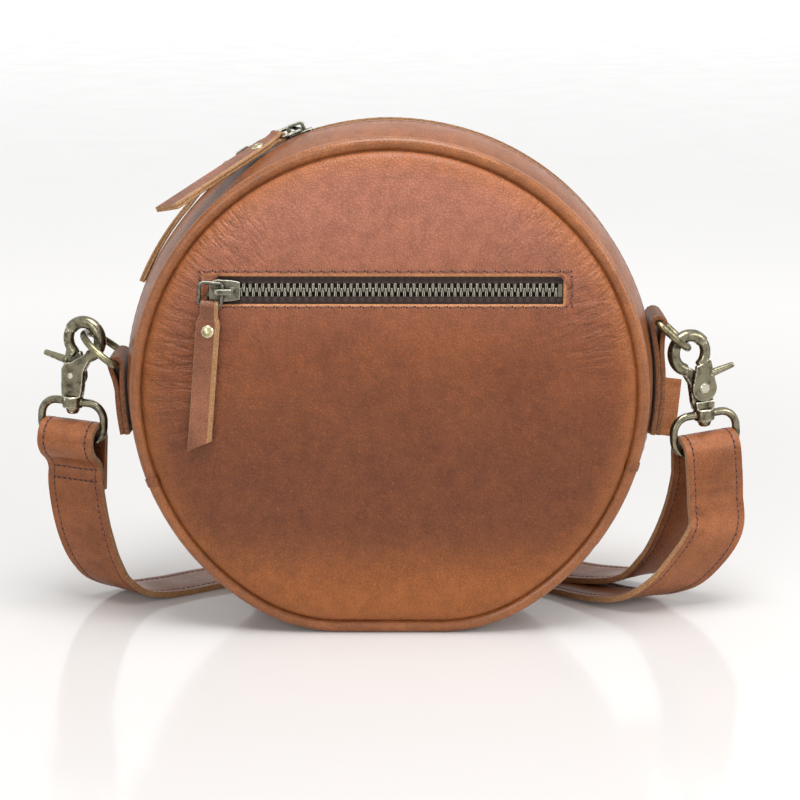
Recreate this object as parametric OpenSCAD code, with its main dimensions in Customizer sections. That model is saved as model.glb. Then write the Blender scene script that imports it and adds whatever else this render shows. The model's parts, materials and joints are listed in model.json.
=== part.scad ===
// Round leather shoulder bag: two crowned discs piped to a gusset with a zip over the top,
// a zip pocket on the front, and a long strap clipped to a ring on each side.
// Millimetres. +X is right seen from the front, the front faces -Y and +Z is up.
// The origin is the middle of the flat stretch that the bag stands on.

/* [Bag body] */
// Width across the piped edge
bag_w = 210; // [190:1:240]
// Depth between the two piped seams
bag_depth = 63; // [56:1:80]
// Radius where the round outline turns into the flat
corner_r = 67.5; // [60:0.5:75]
// Thickness of the leather of discs and gusset
leather_t = 1.8; // [1.4:0.1:2.2]
// Thickness of the piping over its cord
piping_d = 5.5; // [4.5:0.1:6.5]
// How far the discs bulge past their seams
panel_crown = 6.5; // [5:0.1:9]
// Width of the rolled rim of a disc
panel_rim_w = 15; // [12:0.5:17]
// How far the gusset bulges between its seams
gusset_crown = 4.5; // [2:0.1:6]
// Thickness of the lining cloth
lining_t = 0.6; // [0.3:0.1:1]

/* [Zips] */
// Spacing of the teeth on one side of a zip
tooth_pitch = 2.5; // [2:0.1:3.5]
// Width of a closed row of teeth
chain_w = 5.2; // [4.5:0.1:6]
// Height of the teeth, through the tape
chain_t = 2.4; // [2:0.1:3]
// Width of one zip tape
tape_w = 14; // [11:1:18]
// Width of the gap in the leather that shows the teeth
zip_gap = 11; // [10:0.1:13]
// Length of the pocket opening
pocket_w = 142; // [110:1:150]
// Height of the pocket's row of teeth above the table
pocket_z = 143.7; // [130:0.1:150]
// Depth of the pocket below its opening
pouch_drop = 100; // [60:1:110]
// Length of a zip slider
slider_l = 12; // [10:0.1:14]
// Where the right slider stands on the top zip, in degrees round from the right side
slider_right_at = 110; // [100:1:115]
// Where the left slider stands
slider_left_at = 122; // [120:1:126]

/* [Pulls] */
// Length of a leather pull
pull_l = 60; // [45:1:70]
// Width of a leather pull
pull_w = 9.3; // [8:0.1:10]
// Thickness of one layer of a pull
pull_t = 1.1; // [0.9:0.1:1.4]
// Width of the rivet heads
rivet_d = 4.9; // [4:0.1:6]

/* [Rings and clips] */
// Thickness of the ring wire
ring_wire = 3; // [2.5:0.1:3.4]
// Clear width inside a ring
ring_inner_w = 25.6; // [25.4:0.1:28]
// Width of the tabs that hold the rings
tab_w = 24.8; // [20:0.1:24.8]
// Inside radius of the clip's hook
hook_inner_r = 5; // [4.9:0.1:5.2]
// Thickness of the hook
hook_wire = 4.6; // [4:0.1:5]
// Thickness of the swivel eye's wire
eye_wire = 3; // [2.5:0.1:3.2]

/* [Strap] */
// Width of the shoulder strap
strap_w = 25.4; // [20:0.1:26]
// Thickness of the shoulder strap
strap_t = 2.6; // [2:0.1:3]

/* [Hidden] */
$fn = 96;

// Running gap between pieces that move on each other
run_gap = 0.3;
// Gap between a piece and the curved seat that it lies on
seat_gap = 0.1;
// Steps along a curve that is drawn as short straight stretches
arc_steps = 12;

// Outline of the bag: a round arc, two corner arcs and the flat. The line from the round's
// middle to where a corner begins has these shares along and down; their squares add up to 1.
corner_along = 0.5376;
corner_down = 0.8432;
round_r = bag_w / 2;
flat_half = (round_r - corner_r) * corner_along;
round_cz = corner_r + (round_r - corner_r) * corner_down;
joint_line = bag_w * [corner_along, -corner_down];
seam_y = bag_depth / 2;
piping_r = piping_d / 2;
// Flange of the piping, caught in the seam, and the seam allowance behind it
flange_t = 1;
seam_allow = 7;
seam_u = piping_d + seat_gap;
seam_in = seam_u + seam_allow;
gusset_lip_h = seam_y - flange_t / 2;
panel_lip_h = seam_y + flange_t / 2;
gusset_edge_h = seam_y - piping_r - seat_gap;
gusset_edge_u = -piping_r;

// Crown of the gusset across its width, as an arc
crown_rise = gusset_crown - gusset_edge_u;
crown_r = (pow(gusset_edge_h, 2) + pow(crown_rise, 2)) / (2 * crown_rise);
crown_u = gusset_crown - crown_r;
crown_half = asin(gusset_edge_h / crown_r);

// Rolled rim of a disc, as an arc
plateau_u = -(seam_u + panel_rim_w);
plateau_h = seam_y + panel_crown;
valley_h = panel_lip_h + leather_t + leather_t / 5;
rim_drop = plateau_h - valley_h;
rim_r = (pow(panel_rim_w, 2) + pow(rim_drop, 2)) / (2 * rim_drop);
rim_half = asin(panel_rim_w / rim_r);
rim_under = acos((panel_lip_h + leather_t + seat_gap / 2 - plateau_h + rim_r) / (rim_r - leather_t));

// Gusset: the base piece meets the zip pieces this far below the middle on each side
gusset_joint = 17;
zip_half = zip_gap / 2;

// Top zip
tape_t = 0.6;
tape_over = seat_gap / 5;
tape_mid_r = round_r + gusset_crown - leather_t - tape_over - tape_t / 2;
chain_from = 8;
chain_to = 180 - chain_from;
tape_from = -8;
chain_half = chain_w / 2;
tooth_head = 0.75;
tooth_l = tooth_pitch * 0.44;
tooth_angle = tooth_pitch / tape_mid_r * 180 / PI;
chain_teeth = floor((chain_to - chain_from) / tooth_angle);

// Pocket on the front
pocket_x = -2.1;
pocket_tape_h = plateau_h - leather_t;
pocket_mid_h = pocket_tape_h - tape_t / 2;
pocket_tape_over = 2.5;
pocket_tape_w = 8.6;
pocket_teeth = floor((pocket_w - tooth_pitch) / tooth_pitch);
pocket_slider_x = pocket_x - pocket_w / 2 + slider_l / 2 + 6 * run_gap;
pouch_h = gusset_lip_h - leather_t + 2 * run_gap;
pouch_front_h = pocket_tape_h - tape_t - seat_gap;

// Slider: wings over and under the teeth, with flanges down to the tape
slider_w = chain_w + 2.8;
slider_nose_w = slider_w + 0.8;
wing_t = 1.2;
wing_gap = 0.3;
flange_w = (slider_w - chain_w) / 2 - seat_gap;
wing_from = chain_t / 2 + wing_gap;
flange_from = tape_t / 2 + wing_gap;
bail_wire = 1.5;
bail_r = bail_wire / 2;
bridge_w = 2;
bridge_l = 7.6;
bridge_t = 1.1;
bridge_hole_l = bridge_l - 3;
pull_loop_r = bail_r + seat_gap + pull_t;
pocket_bail_h = plateau_h + pull_loop_r + seat_gap - pocket_mid_h;
top_bail_h = gusset_crown + round_r + pull_loop_r + seat_gap - tape_mid_r;
bridge_top = pocket_bail_h + bail_wire + bridge_t;
bail_out_w = 10.6;
bail_half_w = (bail_out_w - bail_wire) / 2;
bail_l = 9;
bail_corner = 1.6;
rivet_shank_r = 1;
rivet_head_t = 0.9;
rivet_along = 10.5;
tip_slant = 5;

// Ring tabs: leather up the gusset, round the ring's bar and back down on itself
tab_t = 2;
tab_loop_r = ring_wire / 2 + run_gap;
tab_in_r = round_r + gusset_crown + seat_gap;
ring_bar_r = tab_in_r + tab_t + tab_loop_r;
tab_low_angle = -10.5;
left_bar_angle = 4.6;
right_bar_angle = 13.5;
tab_link_l = 8;
ring_half_w = (ring_inner_w + ring_wire) / 2;
ring_corner = ring_wire * 0.62;
ring_side = ring_wire * 1.23;
ring_depth = ring_half_w + ring_side;
left_ring_tilt = 37.5;
right_ring_tilt = -41.5;

// Clip, in its own frame: post along Z, hook to +X, lever to -X, origin in the eye's collar
collar_r = 4.2;
collar_l = 4.6;
post_r = 2;
post_gap = 0.05;
head_r = 2.9;
head_l = 2.4;
body_t = 4.4;
body_from = collar_l / 2 + seat_gap;
pivot_z = 11.4;
hook_c = [5, 27];
hook_r = hook_inner_r + hook_wire / 2;
pin_r = 1.1;
trigger_r = 5.4;
trigger_t = 1.7;
trigger_from = 0.7;
plate_top = 0.6;
pin_head_r = 2.6;
lever_l = 11;
lever_t = 2.6;
eye_half_w = strap_w / 2 + eye_wire / 2 + 0.4;
eye_drop = 16.4;
eye_corner = 7;
left_lean = 2.5;
right_lean = 5;
clip_yaw = 20;
// A clip hangs with its hook's middle this far from the middle of the ring's far bend
hang = hook_inner_r - ring_wire / 2 - 1.1;
left_clip = mirror_x(far_bend(left_bar_angle, left_ring_tilt)) - [0, 0, hang]
    - clip_turn(left_lean, -clip_yaw, [hook_c[0], 0, hook_c[1]]);
right_clip = far_bend(right_bar_angle, right_ring_tilt) + [hang * 0.35, 0, -hang]
    - clip_turn(-right_lean, 180 + clip_yaw, [hook_c[0], 0, hook_c[1]]);
function mirror_x(v) = [-v[0], v[1], v[2]];
function far_bend(bar_angle, tilt) = [ring_bar_r * cos(bar_angle) + ring_depth * cos(tilt), 0,
    round_cz + ring_bar_r * sin(bar_angle) + ring_depth * sin(tilt)];
function clip_turn(lean, yaw, v) = let (a = [v[0] * cos(yaw) - v[1] * sin(yaw),
    v[0] * sin(yaw) + v[1] * cos(yaw), v[2]])
    [a[0] * cos(lean) + a[2] * sin(lean), a[1], a[2] * cos(lean) - a[0] * sin(lean)];

// Arc points: from angle a to angle b round c, at radius r
function arc(c, r, a, b, n = arc_steps) =
    [for (i = [0 : n]) [c[0] + r * cos(a + (b - a) * i / n), c[1] + r * sin(a + (b - a) * i / n)]];
function flip(points) = [for (i = [len(points) - 1 : -1 : 0]) [points[i][0], -points[i][1]]];

// Sweeps: the profile's x is the distance out from the piped outline, its y the height
// towards the front. Angles run from the right side, over the top, to the left.
module round_sweep(from, to) {
    translate([0, 0, round_cz]) rotate([90, 0, 0]) rotate([0, 0, from])
        rotate_extrude(angle = to - from) translate([round_r, 0]) children();
}
// Slices of space seen from the front: above the joints with the corners, one side of that up
// to an angle, and one corner
module slice(points) { rotate([90, 0, 0]) linear_extrude(2 * bag_w, center = true) polygon(points); }
module round_space() {
    low = round_cz + joint_line[1];
    slice([[0, round_cz], [joint_line[0], low], [2 * bag_w, low], [2 * bag_w, 2 * bag_w],
        [-2 * bag_w, 2 * bag_w], [-2 * bag_w, low], [-joint_line[0], low]]);
}
module side_space(top_angle) {
    low = round_cz + joint_line[1];
    slice([[0, round_cz], [joint_line[0], low], [2 * bag_w, low],
        [2 * bag_w * cos(top_angle), round_cz + 2 * bag_w * sin(top_angle)]]);
}
module corner_space() {
    slice([[flat_half, corner_r], [flat_half + joint_line[0], corner_r + joint_line[1]],
        [flat_half, corner_r + joint_line[1]]]);
}
module whole_round() {
    translate([0, 0, round_cz]) rotate([90, 0, 0]) rotate([0, 0, -90]) rotate_extrude()
        translate([round_r, 0]) children();
}
module corner_sweep() {
    intersection() {
        translate([flat_half, 0, corner_r]) rotate([90, 0, 0]) rotate([0, 0, 90]) rotate_extrude()
            translate([corner_r, 0]) children();
        corner_space();
    }
}
module base_sweep() {
    rotate([90, 0, 0]) rotate([0, 0, -90]) rotate([90, 0, 0])
        linear_extrude(2 * flat_half, center = true) children();
    corner_sweep() children();
    mirror([1, 0, 0]) corner_sweep() children();
}
module ring_sweep() {
    base_sweep() children();
    intersection() {
        whole_round() children();
        round_space();
    }
}
// Flat plate of the bag's outline, drawn in by inset, from height h to h + t
module outline_plate(inset, h, t) {
    intersection() {
        translate([0, -h, round_cz]) rotate([90, 0, 0]) cylinder(h = t, r = round_r - inset);
        round_space();
    }
    for (side = [0, 1]) mirror([side, 0, 0]) intersection() {
        translate([flat_half, -h, corner_r]) rotate([90, 0, 0]) cylinder(h = t, r = corner_r - inset);
        corner_space();
    }
    translate([0, -h, 0]) rotate([90, 0, 0]) linear_extrude(t)
        polygon([[0, round_cz], [-flat_half, corner_r], [-flat_half, inset], [flat_half, inset],
            [flat_half, corner_r]]);
}

// Ribbon of leather swept along rows of [place, direction across]: faces as triangles
module ribbon(places, across, width, thick) {
    n = len(places);
    ahead = [for (i = [0 : n - 1]) unit(places[min(i + 1, n - 1)] - places[max(i - 1, 0)])];
    up = [for (i = [0 : n - 1]) unit(cross(ahead[i], across[i]))];
    side = [for (i = [0 : n - 1]) cross(up[i], ahead[i])];
    points = [for (i = [0 : n - 1]) for (k = [[-1, -1], [1, -1], [1, 1], [-1, 1]])
        places[i] + side[i] * k[0] * width / 2 + up[i] * k[1] * thick / 2];
    walls = [for (i = [0 : n - 2]) for (k = [0 : 3]) let (a = 4 * i + k, b = 4 * i + (k + 1) % 4)
        each [[a, b, b + 4], [a, b + 4, a + 4]]];
    last = 4 * (n - 1);
    ends = [[2, 1, 0], [3, 2, 0], [last, last + 1, last + 2], [last, last + 2, last + 3]];
    polyhedron(points, concat(walls, ends));
}
function unit(v) = v / norm(v);
// Smooth curve through rows of numbers, with a few steps between each two
function smooth(rows, steps = 3) = concat([for (i = [0 : len(rows) - 2]) for (j = [0 : steps - 1])
    let (a = rows[max(i - 1, 0)], b = rows[i], c = rows[i + 1], d = rows[min(i + 2, len(rows) - 1)],
        s = j / steps)
    ((b * 2) + (c - a) * s + (a * 2 - b * 5 + c * 4 - d) * s * s + (b * 3 - a - c * 3 + d) * s * s * s) / 2],
    [rows[len(rows) - 1]]);

// Profiles, in distance out from the outline and height towards the front
function crown_pts(off, from_h, to_h, n = arc_steps) = arc([crown_u, 0], crown_r - off,
    asin(from_h / (crown_r - off)), asin(to_h / (crown_r - off)), n);
function seam_pts() = arc([-piping_r, seam_y], piping_r + seat_gap,
    180 + asin(flange_t / 2 / (piping_r + seat_gap)), 270, 4);
inner_edge_h = (crown_r - leather_t) * sin(crown_half);
knee = [-(seam_u + leather_t), gusset_lip_h - leather_t];

module upper_space(z) { translate([-bag_w, -bag_w, z]) cube(2 * bag_w); }

// Crowned disc with its edge turned under into the seam
module disc() {
    union() {
        ring_sweep() polygon(concat(
            arc([plateau_u, plateau_h - rim_r], rim_r, 90, 90 - rim_half),
            [[-seam_u, panel_lip_h], [-seam_in, panel_lip_h], [-seam_in, panel_lip_h + leather_t]],
            arc([plateau_u, plateau_h - rim_r], rim_r - leather_t, 90 - rim_under, 90)));
        outline_plate(-plateau_u, plateau_h - leather_t, leather_t);
    }
}
module front_panel() {
    color("sienna") difference() {
        disc();
        translate([pocket_x - pocket_w / 2, -plateau_h - leather_t, pocket_z - zip_half])
            cube([pocket_w, 3 * leather_t, zip_gap]);
        // The leather is pared where the tapes reach the rolled rim
        translate([pocket_x - pocket_w / 2 - pocket_tape_over - seat_gap, -pocket_tape_h - seat_gap / 2,
            pocket_z - pocket_tape_w - seat_gap])
            cube([pocket_w + 2 * pocket_tape_over + 2 * seat_gap, 2 * leather_t,
                2 * pocket_tape_w + 2 * seat_gap]);
    }
}
module back_panel() { color("sienna") mirror([0, 1, 0]) disc(); }

// Piping: a covered cord with a flange that is caught in the seam
module piping_profile() {
    neck = 180 - asin(flange_t / piping_d);
    polygon(concat(arc([-piping_r, seam_y], piping_r, neck, -neck, 2 * arc_steps),
        [[-seam_in, gusset_lip_h], [-seam_in, panel_lip_h]]));
}
module front_piping() { color("peru") ring_sweep() piping_profile(); }
module back_piping() { color("peru") mirror([0, 1, 0]) ring_sweep() piping_profile(); }

// Short leather bands over the piping where the gusset's pieces meet
wrap_t = 0.4;
wrap_l = 3.6;
wrap_angle = wrap_l / round_r * 180 / PI;
left_wrap_angle = 180 + 20;
right_wrap_angle = -16;
module wrap_at(angle) {
    round_sweep(angle - wrap_angle / 2, angle + wrap_angle / 2) difference() {
        translate([-piping_r, seam_y]) circle(piping_r + wrap_t, $fn = 48);
        translate([-piping_r, seam_y]) circle(piping_r, $fn = 48);
        translate([-piping_r - piping_d - seam_in, seam_y - piping_d])
            square([piping_d + seam_in, 2 * piping_d]);
        translate([-piping_d, seam_y - 2 * piping_d]) square([2 * piping_d, 2 * piping_d]);
    }
}
module piping_wraps() {
    color("peru") for (angle = [left_wrap_angle, right_wrap_angle]) {
        wrap_at(angle);
        mirror([0, 1, 0]) wrap_at(angle);
    }
}

// Gusset: crowned strip with both edges turned into the seams, pressed flat under the bag
module gusset_outer() {
    polygon(concat([[-seam_in, gusset_lip_h]], seam_pts(),
        crown_pts(0, gusset_edge_h, -gusset_edge_h, 2 * arc_steps), flip(seam_pts()),
        [[-seam_in, -gusset_lip_h]]));
}
module gusset_inner() {
    polygon(concat([[-seam_in - leather_t, knee[1]], knee],
        crown_pts(leather_t, inner_edge_h, -inner_edge_h, 2 * arc_steps),
        [[knee[0], -knee[1]], [-seam_in - leather_t, -knee[1]]]));
}
// Flattened profile: nothing lies under the table, and the leather keeps its thickness
module gusset_flat() {
    difference() {
        intersection() {
            gusset_outer();
            translate([-bag_w, -bag_w / 2]) square(bag_w);
        }
        intersection() {
            gusset_inner();
            translate([-bag_w - leather_t, -bag_w / 2]) square(bag_w);
        }
    }
}
module gusset_corner() {
    difference() {
        intersection() {
            corner_sweep() gusset_outer();
            upper_space(0);
        }
        intersection() {
            corner_sweep() gusset_inner();
            upper_space(leather_t);
        }
    }
}
module gusset_round() {
    intersection() {
        whole_round() polygon(concat([[-seam_in, gusset_lip_h]], seam_pts(),
            crown_pts(0, gusset_edge_h, -gusset_edge_h, 2 * arc_steps), flip(seam_pts()),
            [[-seam_in, -gusset_lip_h], [-seam_in, -knee[1]], [knee[0], -knee[1]]],
            crown_pts(leather_t, -inner_edge_h, inner_edge_h, 2 * arc_steps),
            [knee, [-seam_in, knee[1]]]));
        side_space(-gusset_joint);
    }
}
module base_gusset() {
    color("saddlebrown") {
        rotate([90, 0, 0]) rotate([0, 0, -90]) rotate([90, 0, 0])
            linear_extrude(2 * flat_half, center = true) gusset_flat();
        for (side = [0, 1]) mirror([side, 0, 0]) {
            gusset_corner();
            gusset_round();
        }
    }
}
module zip_gusset() {
    round_sweep(-gusset_joint, 180 + gusset_joint)
        polygon(concat([[-seam_in, gusset_lip_h]], seam_pts(),
            crown_pts(0, gusset_edge_h, zip_half), crown_pts(leather_t, zip_half, inner_edge_h),
            [knee, [-seam_in, knee[1]]]));
}
module zip_gusset_front() { color("saddlebrown") zip_gusset(); }
module zip_gusset_back() { color("saddlebrown") mirror([0, 1, 0]) zip_gusset(); }

// Top zip: tapes under the gusset's edges and teeth along the gap
module main_tape() {
    round_sweep(tape_from, 180 - tape_from)
        polygon(concat(crown_pts(leather_t + tape_over, chain_half, tape_w, 3),
            crown_pts(leather_t + tape_over + tape_t, tape_w, chain_half, 3)));
}
module main_tape_front() { color("dimgray") main_tape(); }
module main_tape_back() { color("dimgray") mirror([0, 1, 0]) main_tape(); }

// One tooth: x along the zip, y from its own tape (positive) to past the middle, z through it
module tooth() {
    tl = tooth_l / 2;
    linear_extrude(chain_t, center = true)
        polygon([[-tl, chain_half], [-tl, chain_half / 3], [-tl * neck_share, 0],
            [-tl * head_share, -tooth_head], [tl * head_share, -tooth_head], [tl * neck_share, 0],
            [tl, chain_half / 3], [tl, chain_half]]);
}
neck_share = 0.6;
head_share = 0.85;
// Frame on the top zip: x along it towards the left, y to the front, z out
module at_chain(angle) {
    translate([0, 0, round_cz]) rotate([0, -angle, 0]) translate([tape_mid_r, 0, 0])
        rotate(a = 180, v = [1, 0, 1]) children();
}
module main_teeth(shift) {
    for (i = [0 : chain_teeth - 1])
        at_chain(chain_from + (i + shift) * tooth_angle) tooth();
}
module main_teeth_front() { color("gray") main_teeth(0); }
module main_teeth_back() { color("gray") mirror([0, 1, 0]) main_teeth(0.5); }
module main_zip_stops() {
    color("gray") for (angle = [chain_from - 2 * tooth_angle, chain_to + 2 * tooth_angle])
        at_chain(angle) cube([2 * tooth_l, chain_w, chain_t], center = true);
}

// Lining: two discs and a loose band, open under the top zip
lining_inset = seam_in - seam_allow / 2;
lining_h = knee[1] - seat_gap / 2 - lining_t;
band_u = -(seam_u + leather_t) + lining_t;
lining_gap = zip_half + 2;
module front_lining() { color("tan") outline_plate(lining_inset, lining_h, lining_t); }
module back_lining() { color("tan") mirror([0, 1, 0]) front_lining(); }
module gusset_lining() {
    color("tan") difference() {
        ring_sweep() translate([band_u - lining_t, -lining_h + seat_gap / 2])
            square([lining_t, 2 * lining_h - seat_gap]);
        round_sweep(tape_from, 180 - tape_from) translate([band_u - 2 * lining_t, -lining_gap])
            square([3 * lining_t, 2 * lining_gap]);
    }
}

// Pocket zip, behind the opening in the front disc
module pocket_tape() {
    translate([pocket_x - pocket_w / 2 - pocket_tape_over, -pocket_tape_h, pocket_z + chain_half])
        cube([pocket_w + 2 * pocket_tape_over, tape_t, pocket_tape_w - chain_half]);
}
module pocket_tape_upper() { color("dimgray") pocket_tape(); }
module pocket_tape_lower() {
    color("dimgray") translate([0, 0, 2 * pocket_z]) mirror([0, 0, 1]) pocket_tape();
}
// Frame on the pocket zip: x to the right, y up, z out to the front
module at_pocket(x) { translate([x, -pocket_mid_h, pocket_z]) rotate([90, 0, 0]) children(); }
module pocket_teeth_row(shift) {
    for (i = [0 : pocket_teeth - 1])
        at_pocket(pocket_x + (i + shift - pocket_teeth / 2) * tooth_pitch) children();
}
module pocket_teeth_upper() { color("gray") pocket_teeth_row(0.25) tooth(); }
module pocket_teeth_lower() { color("gray") pocket_teeth_row(0.75) mirror([0, 1, 0]) tooth(); }
module pocket_zip_stops() {
    color("gray") for (side = [-1, 1])
        at_pocket(pocket_x + side * (pocket_teeth / 2 * tooth_pitch + tooth_l))
            cube([tooth_l * 1.5, chain_w, chain_t], center = true);
}
pouch_w = pocket_w + 2;
pouch_open = chain_w + slider_w;
// The pocket bag behind the flat part of the disc, drawn in by inset on all sides
module pouch_space(inset) {
    intersection() {
        translate([pocket_x - pouch_w / 2 + inset, -pouch_front_h + inset, pocket_z - pouch_drop + inset])
            cube([pouch_w - 2 * inset, pouch_front_h - pouch_h - 2 * inset,
                pouch_drop + tape_w - 2 * inset]);
        outline_plate(-plateau_u + inset, pouch_h - lining_t, pouch_front_h - pouch_h + 2 * lining_t);
    }
}
module pocket_pouch() {
    color("tan") difference() {
        pouch_space(0);
        pouch_space(lining_t);
        translate([pocket_x - pouch_w / 2 + lining_t, -pouch_front_h - lining_t,
            pocket_z - pouch_open / 2])
            cube([pouch_w - 2 * lining_t, wing_from + wing_t + run_gap, pouch_open]);
    }
}

// Slider: two wings with flanges round the teeth, and a bridge for the bail.
// x runs towards the closed teeth, z out of the leather.
nose_share = 0.8;
tail_share = 0.85;
module wing() {
    translate([0, 0, wing_from]) linear_extrude(wing_t)
        polygon([[-slider_l / 2, -slider_nose_w / 2 * nose_share], [-slider_l / 4, -slider_nose_w / 2],
            [slider_l / 4, -slider_w / 2], [slider_l / 2, -slider_w / 2 * tail_share],
            [slider_l / 2, slider_w / 2 * tail_share], [slider_l / 4, slider_w / 2],
            [-slider_l / 4, slider_nose_w / 2], [-slider_l / 2, slider_nose_w / 2 * nose_share]]);
    for (side = [-1, 1])
        translate([-slider_l / 4, side * (slider_w / 2 - flange_w / 2) - flange_w / 2, flange_from])
            cube([slider_l / 2, flange_w, wing_from - flange_from]);
}
module slider() {
    bottom = wing_from + wing_t;
    wing();
    mirror([0, 0, 1]) wing();
    translate([0, bridge_w / 2, 0]) rotate([90, 0, 0]) linear_extrude(bridge_w) difference() {
        polygon([[-bridge_l / 2, bottom], [bridge_l / 2, bottom],
            [bridge_l / 2, bridge_top - bridge_t], [bridge_l / 2 - bridge_t, bridge_top],
            [-bridge_l / 2 + bridge_t, bridge_top], [-bridge_l / 2, bridge_top - bridge_t]]);
        translate([-bridge_hole_l / 2, bottom])
            square([bridge_hole_l, bridge_top - bridge_t - bottom]);
    }
}
// Bail: a wire frame from the bar at the origin to the bar at x = bail_l
module bail() {
    straight = bail_half_w - bail_corner;
    for (x = [0, bail_l]) translate([x, 0, 0]) rotate([90, 0, 0])
        cylinder(h = 2 * straight, r = bail_r, center = true, $fn = 32);
    for (side = [-1, 1]) translate([bail_corner, side * bail_half_w, 0]) rotate([0, 90, 0])
        cylinder(h = bail_l - 2 * bail_corner, r = bail_r, $fn = 32);
    for (k = [0 : 3]) translate([k < 2 ? bail_l - bail_corner : bail_corner,
        (k % 3 == 0 ? 1 : -1) * straight, 0])
        rotate([0, 0, k == 0 ? 0 : k == 1 ? -90 : k == 2 ? 180 : 90])
            rotate_extrude(angle = 90) translate([bail_corner, 0]) circle(bail_r, $fn = 32);
}
// Pull: leather folded round the bail's far bar, which is at the origin; x runs down the pull
pull_layers = 2 * pull_t;
pull_neck_w = 2 * bail_half_w - bail_wire - 2 * run_gap;
pull_neck_l = 4;
pull_fan_l = 3;
module pull_fold() {
    translate([0, pull_neck_w / 2, 0]) rotate([90, 0, 0]) linear_extrude(pull_neck_w) difference() {
        union() {
            circle(pull_loop_r, $fn = 48);
            translate([0, -pull_t]) square([pull_neck_l, pull_layers]);
        }
        circle(bail_r + seat_gap, $fn = 48);
    }
}
module rivet_hole() {
    translate([rivet_along, 0, -pull_layers]) cylinder(h = 2 * pull_layers, r = rivet_shank_r);
}
module straight_pull() {
    pull_fold();
    translate([0, 0, -pull_t]) linear_extrude(pull_layers) difference() {
        polygon([[pull_neck_l, -pull_neck_w / 2], [pull_neck_l + pull_fan_l, -pull_w / 2],
            [pull_l, -pull_w / 2], [pull_l - tip_slant, pull_w / 2],
            [pull_neck_l + pull_fan_l, pull_w / 2], [pull_neck_l, pull_neck_w / 2]]);
        translate([rivet_along, 0]) circle(rivet_shank_r);
    }
}
// Rivet through both layers of a pull, with a domed head on each side
module rivet() {
    dome_r = (pow(rivet_d / 2, 2) + pow(rivet_head_t, 2)) / (2 * rivet_head_t);
    translate([rivet_along, 0, 0]) {
        cylinder(h = pull_layers + seat_gap, r = rivet_shank_r, center = true);
        for (side = [0, 1]) mirror([0, 0, side]) translate([0, 0, seat_gap / 2]) intersection() {
            translate([0, 0, pull_t + rivet_head_t - dome_r]) sphere(dome_r);
            translate([0, 0, pull_t]) cylinder(h = rivet_head_t * 2, r = rivet_d / 2);
        }
    }
}
pocket_bail_up = 3;
pocket_bail_off = 0.9;
pocket_bail_lean = 5;
module at_pocket_bail() {
    at_pocket(pocket_slider_x) translate([-pocket_bail_off, 0, pocket_bail_h])
        rotate([0, 0, -90 - pocket_bail_lean]) translate([-pocket_bail_up, -bail_half_w, 0]) children();
}
module pocket_slider() { color("gray") at_pocket(pocket_slider_x) slider(); }
module pocket_bail() { color("gray") at_pocket_bail() bail(); }
module pocket_pull() { color("sienna") at_pocket_bail() translate([bail_l, 0, 0]) straight_pull(); }
module pocket_pull_rivet() { color("khaki") at_pocket_bail() translate([bail_l, 0, 0]) rivet(); }

// Right slider of the top zip: its pull points left and to the front, and leans to the front
right_pull_yaw = 33;
right_pull_roll = -13;
right_pull_droop = 10;
right_bail_up = 0.4;
module at_right_bail() {
    at_chain(slider_right_at) translate([0, 0, top_bail_h + right_bail_up])
        rotate([0, 0, right_pull_yaw])
        rotate([right_pull_roll, 0, 0]) children();
}
module at_right_pull() {
    at_right_bail() translate([bail_l, 0, 0]) rotate([0, right_pull_droop, 0]) children();
}
module top_slider_right() { color("gray") at_chain(slider_right_at) mirror([1, 0, 0]) slider(); }
module top_bail_right() { color("gray") at_right_bail() bail(); }
module top_pull_right() { color("sienna") at_right_pull() straight_pull(); }
module top_pull_rivet_right() { color("khaki") at_right_pull() rivet(); }

// Left slider: its pull bends along the gusset
left_bail_r = tape_mid_r + top_bail_h;
left_pull_at = slider_left_at + atan(bail_l / left_bail_r);
module at_left_bail() { at_chain(slider_left_at) translate([0, 0, top_bail_h]) children(); }
module top_slider_left() { color("gray") at_chain(slider_left_at) slider(); }
module top_bail_left() { color("gray") at_left_bail() bail(); }
module top_pull_left() {
    bar_r = norm([left_bail_r, bail_l]);
    per_mm = 180 / PI / bar_r;
    color("sienna") difference() {
        union() {
            at_left_bail() translate([bail_l, 0, 0])
                rotate([0, left_pull_at - slider_left_at, 0]) pull_fold();
            translate([0, 0, round_cz]) rotate([90, 0, 0])
                rotate([0, 0, left_pull_at + pull_neck_l * per_mm])
                    rotate_extrude(angle = (pull_l - pull_neck_l) * per_mm)
                        translate([bar_r, 0]) square([pull_layers, pull_w], center = true);
        }
        at_left_rivet() rivet_hole();
    }
}
module at_left_rivet() {
    bar_r = norm([left_bail_r, bail_l]);
    translate([0, 0, round_cz]) rotate([0, -left_pull_at - rivet_along / bar_r * 180 / PI, 0])
        translate([bar_r, 0, 0]) rotate(a = 180, v = [1, 0, 1])
            translate([-rivet_along, 0, 0]) children();
}
module top_pull_rivet_left() { color("khaki") at_left_rivet() rivet(); }

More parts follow.
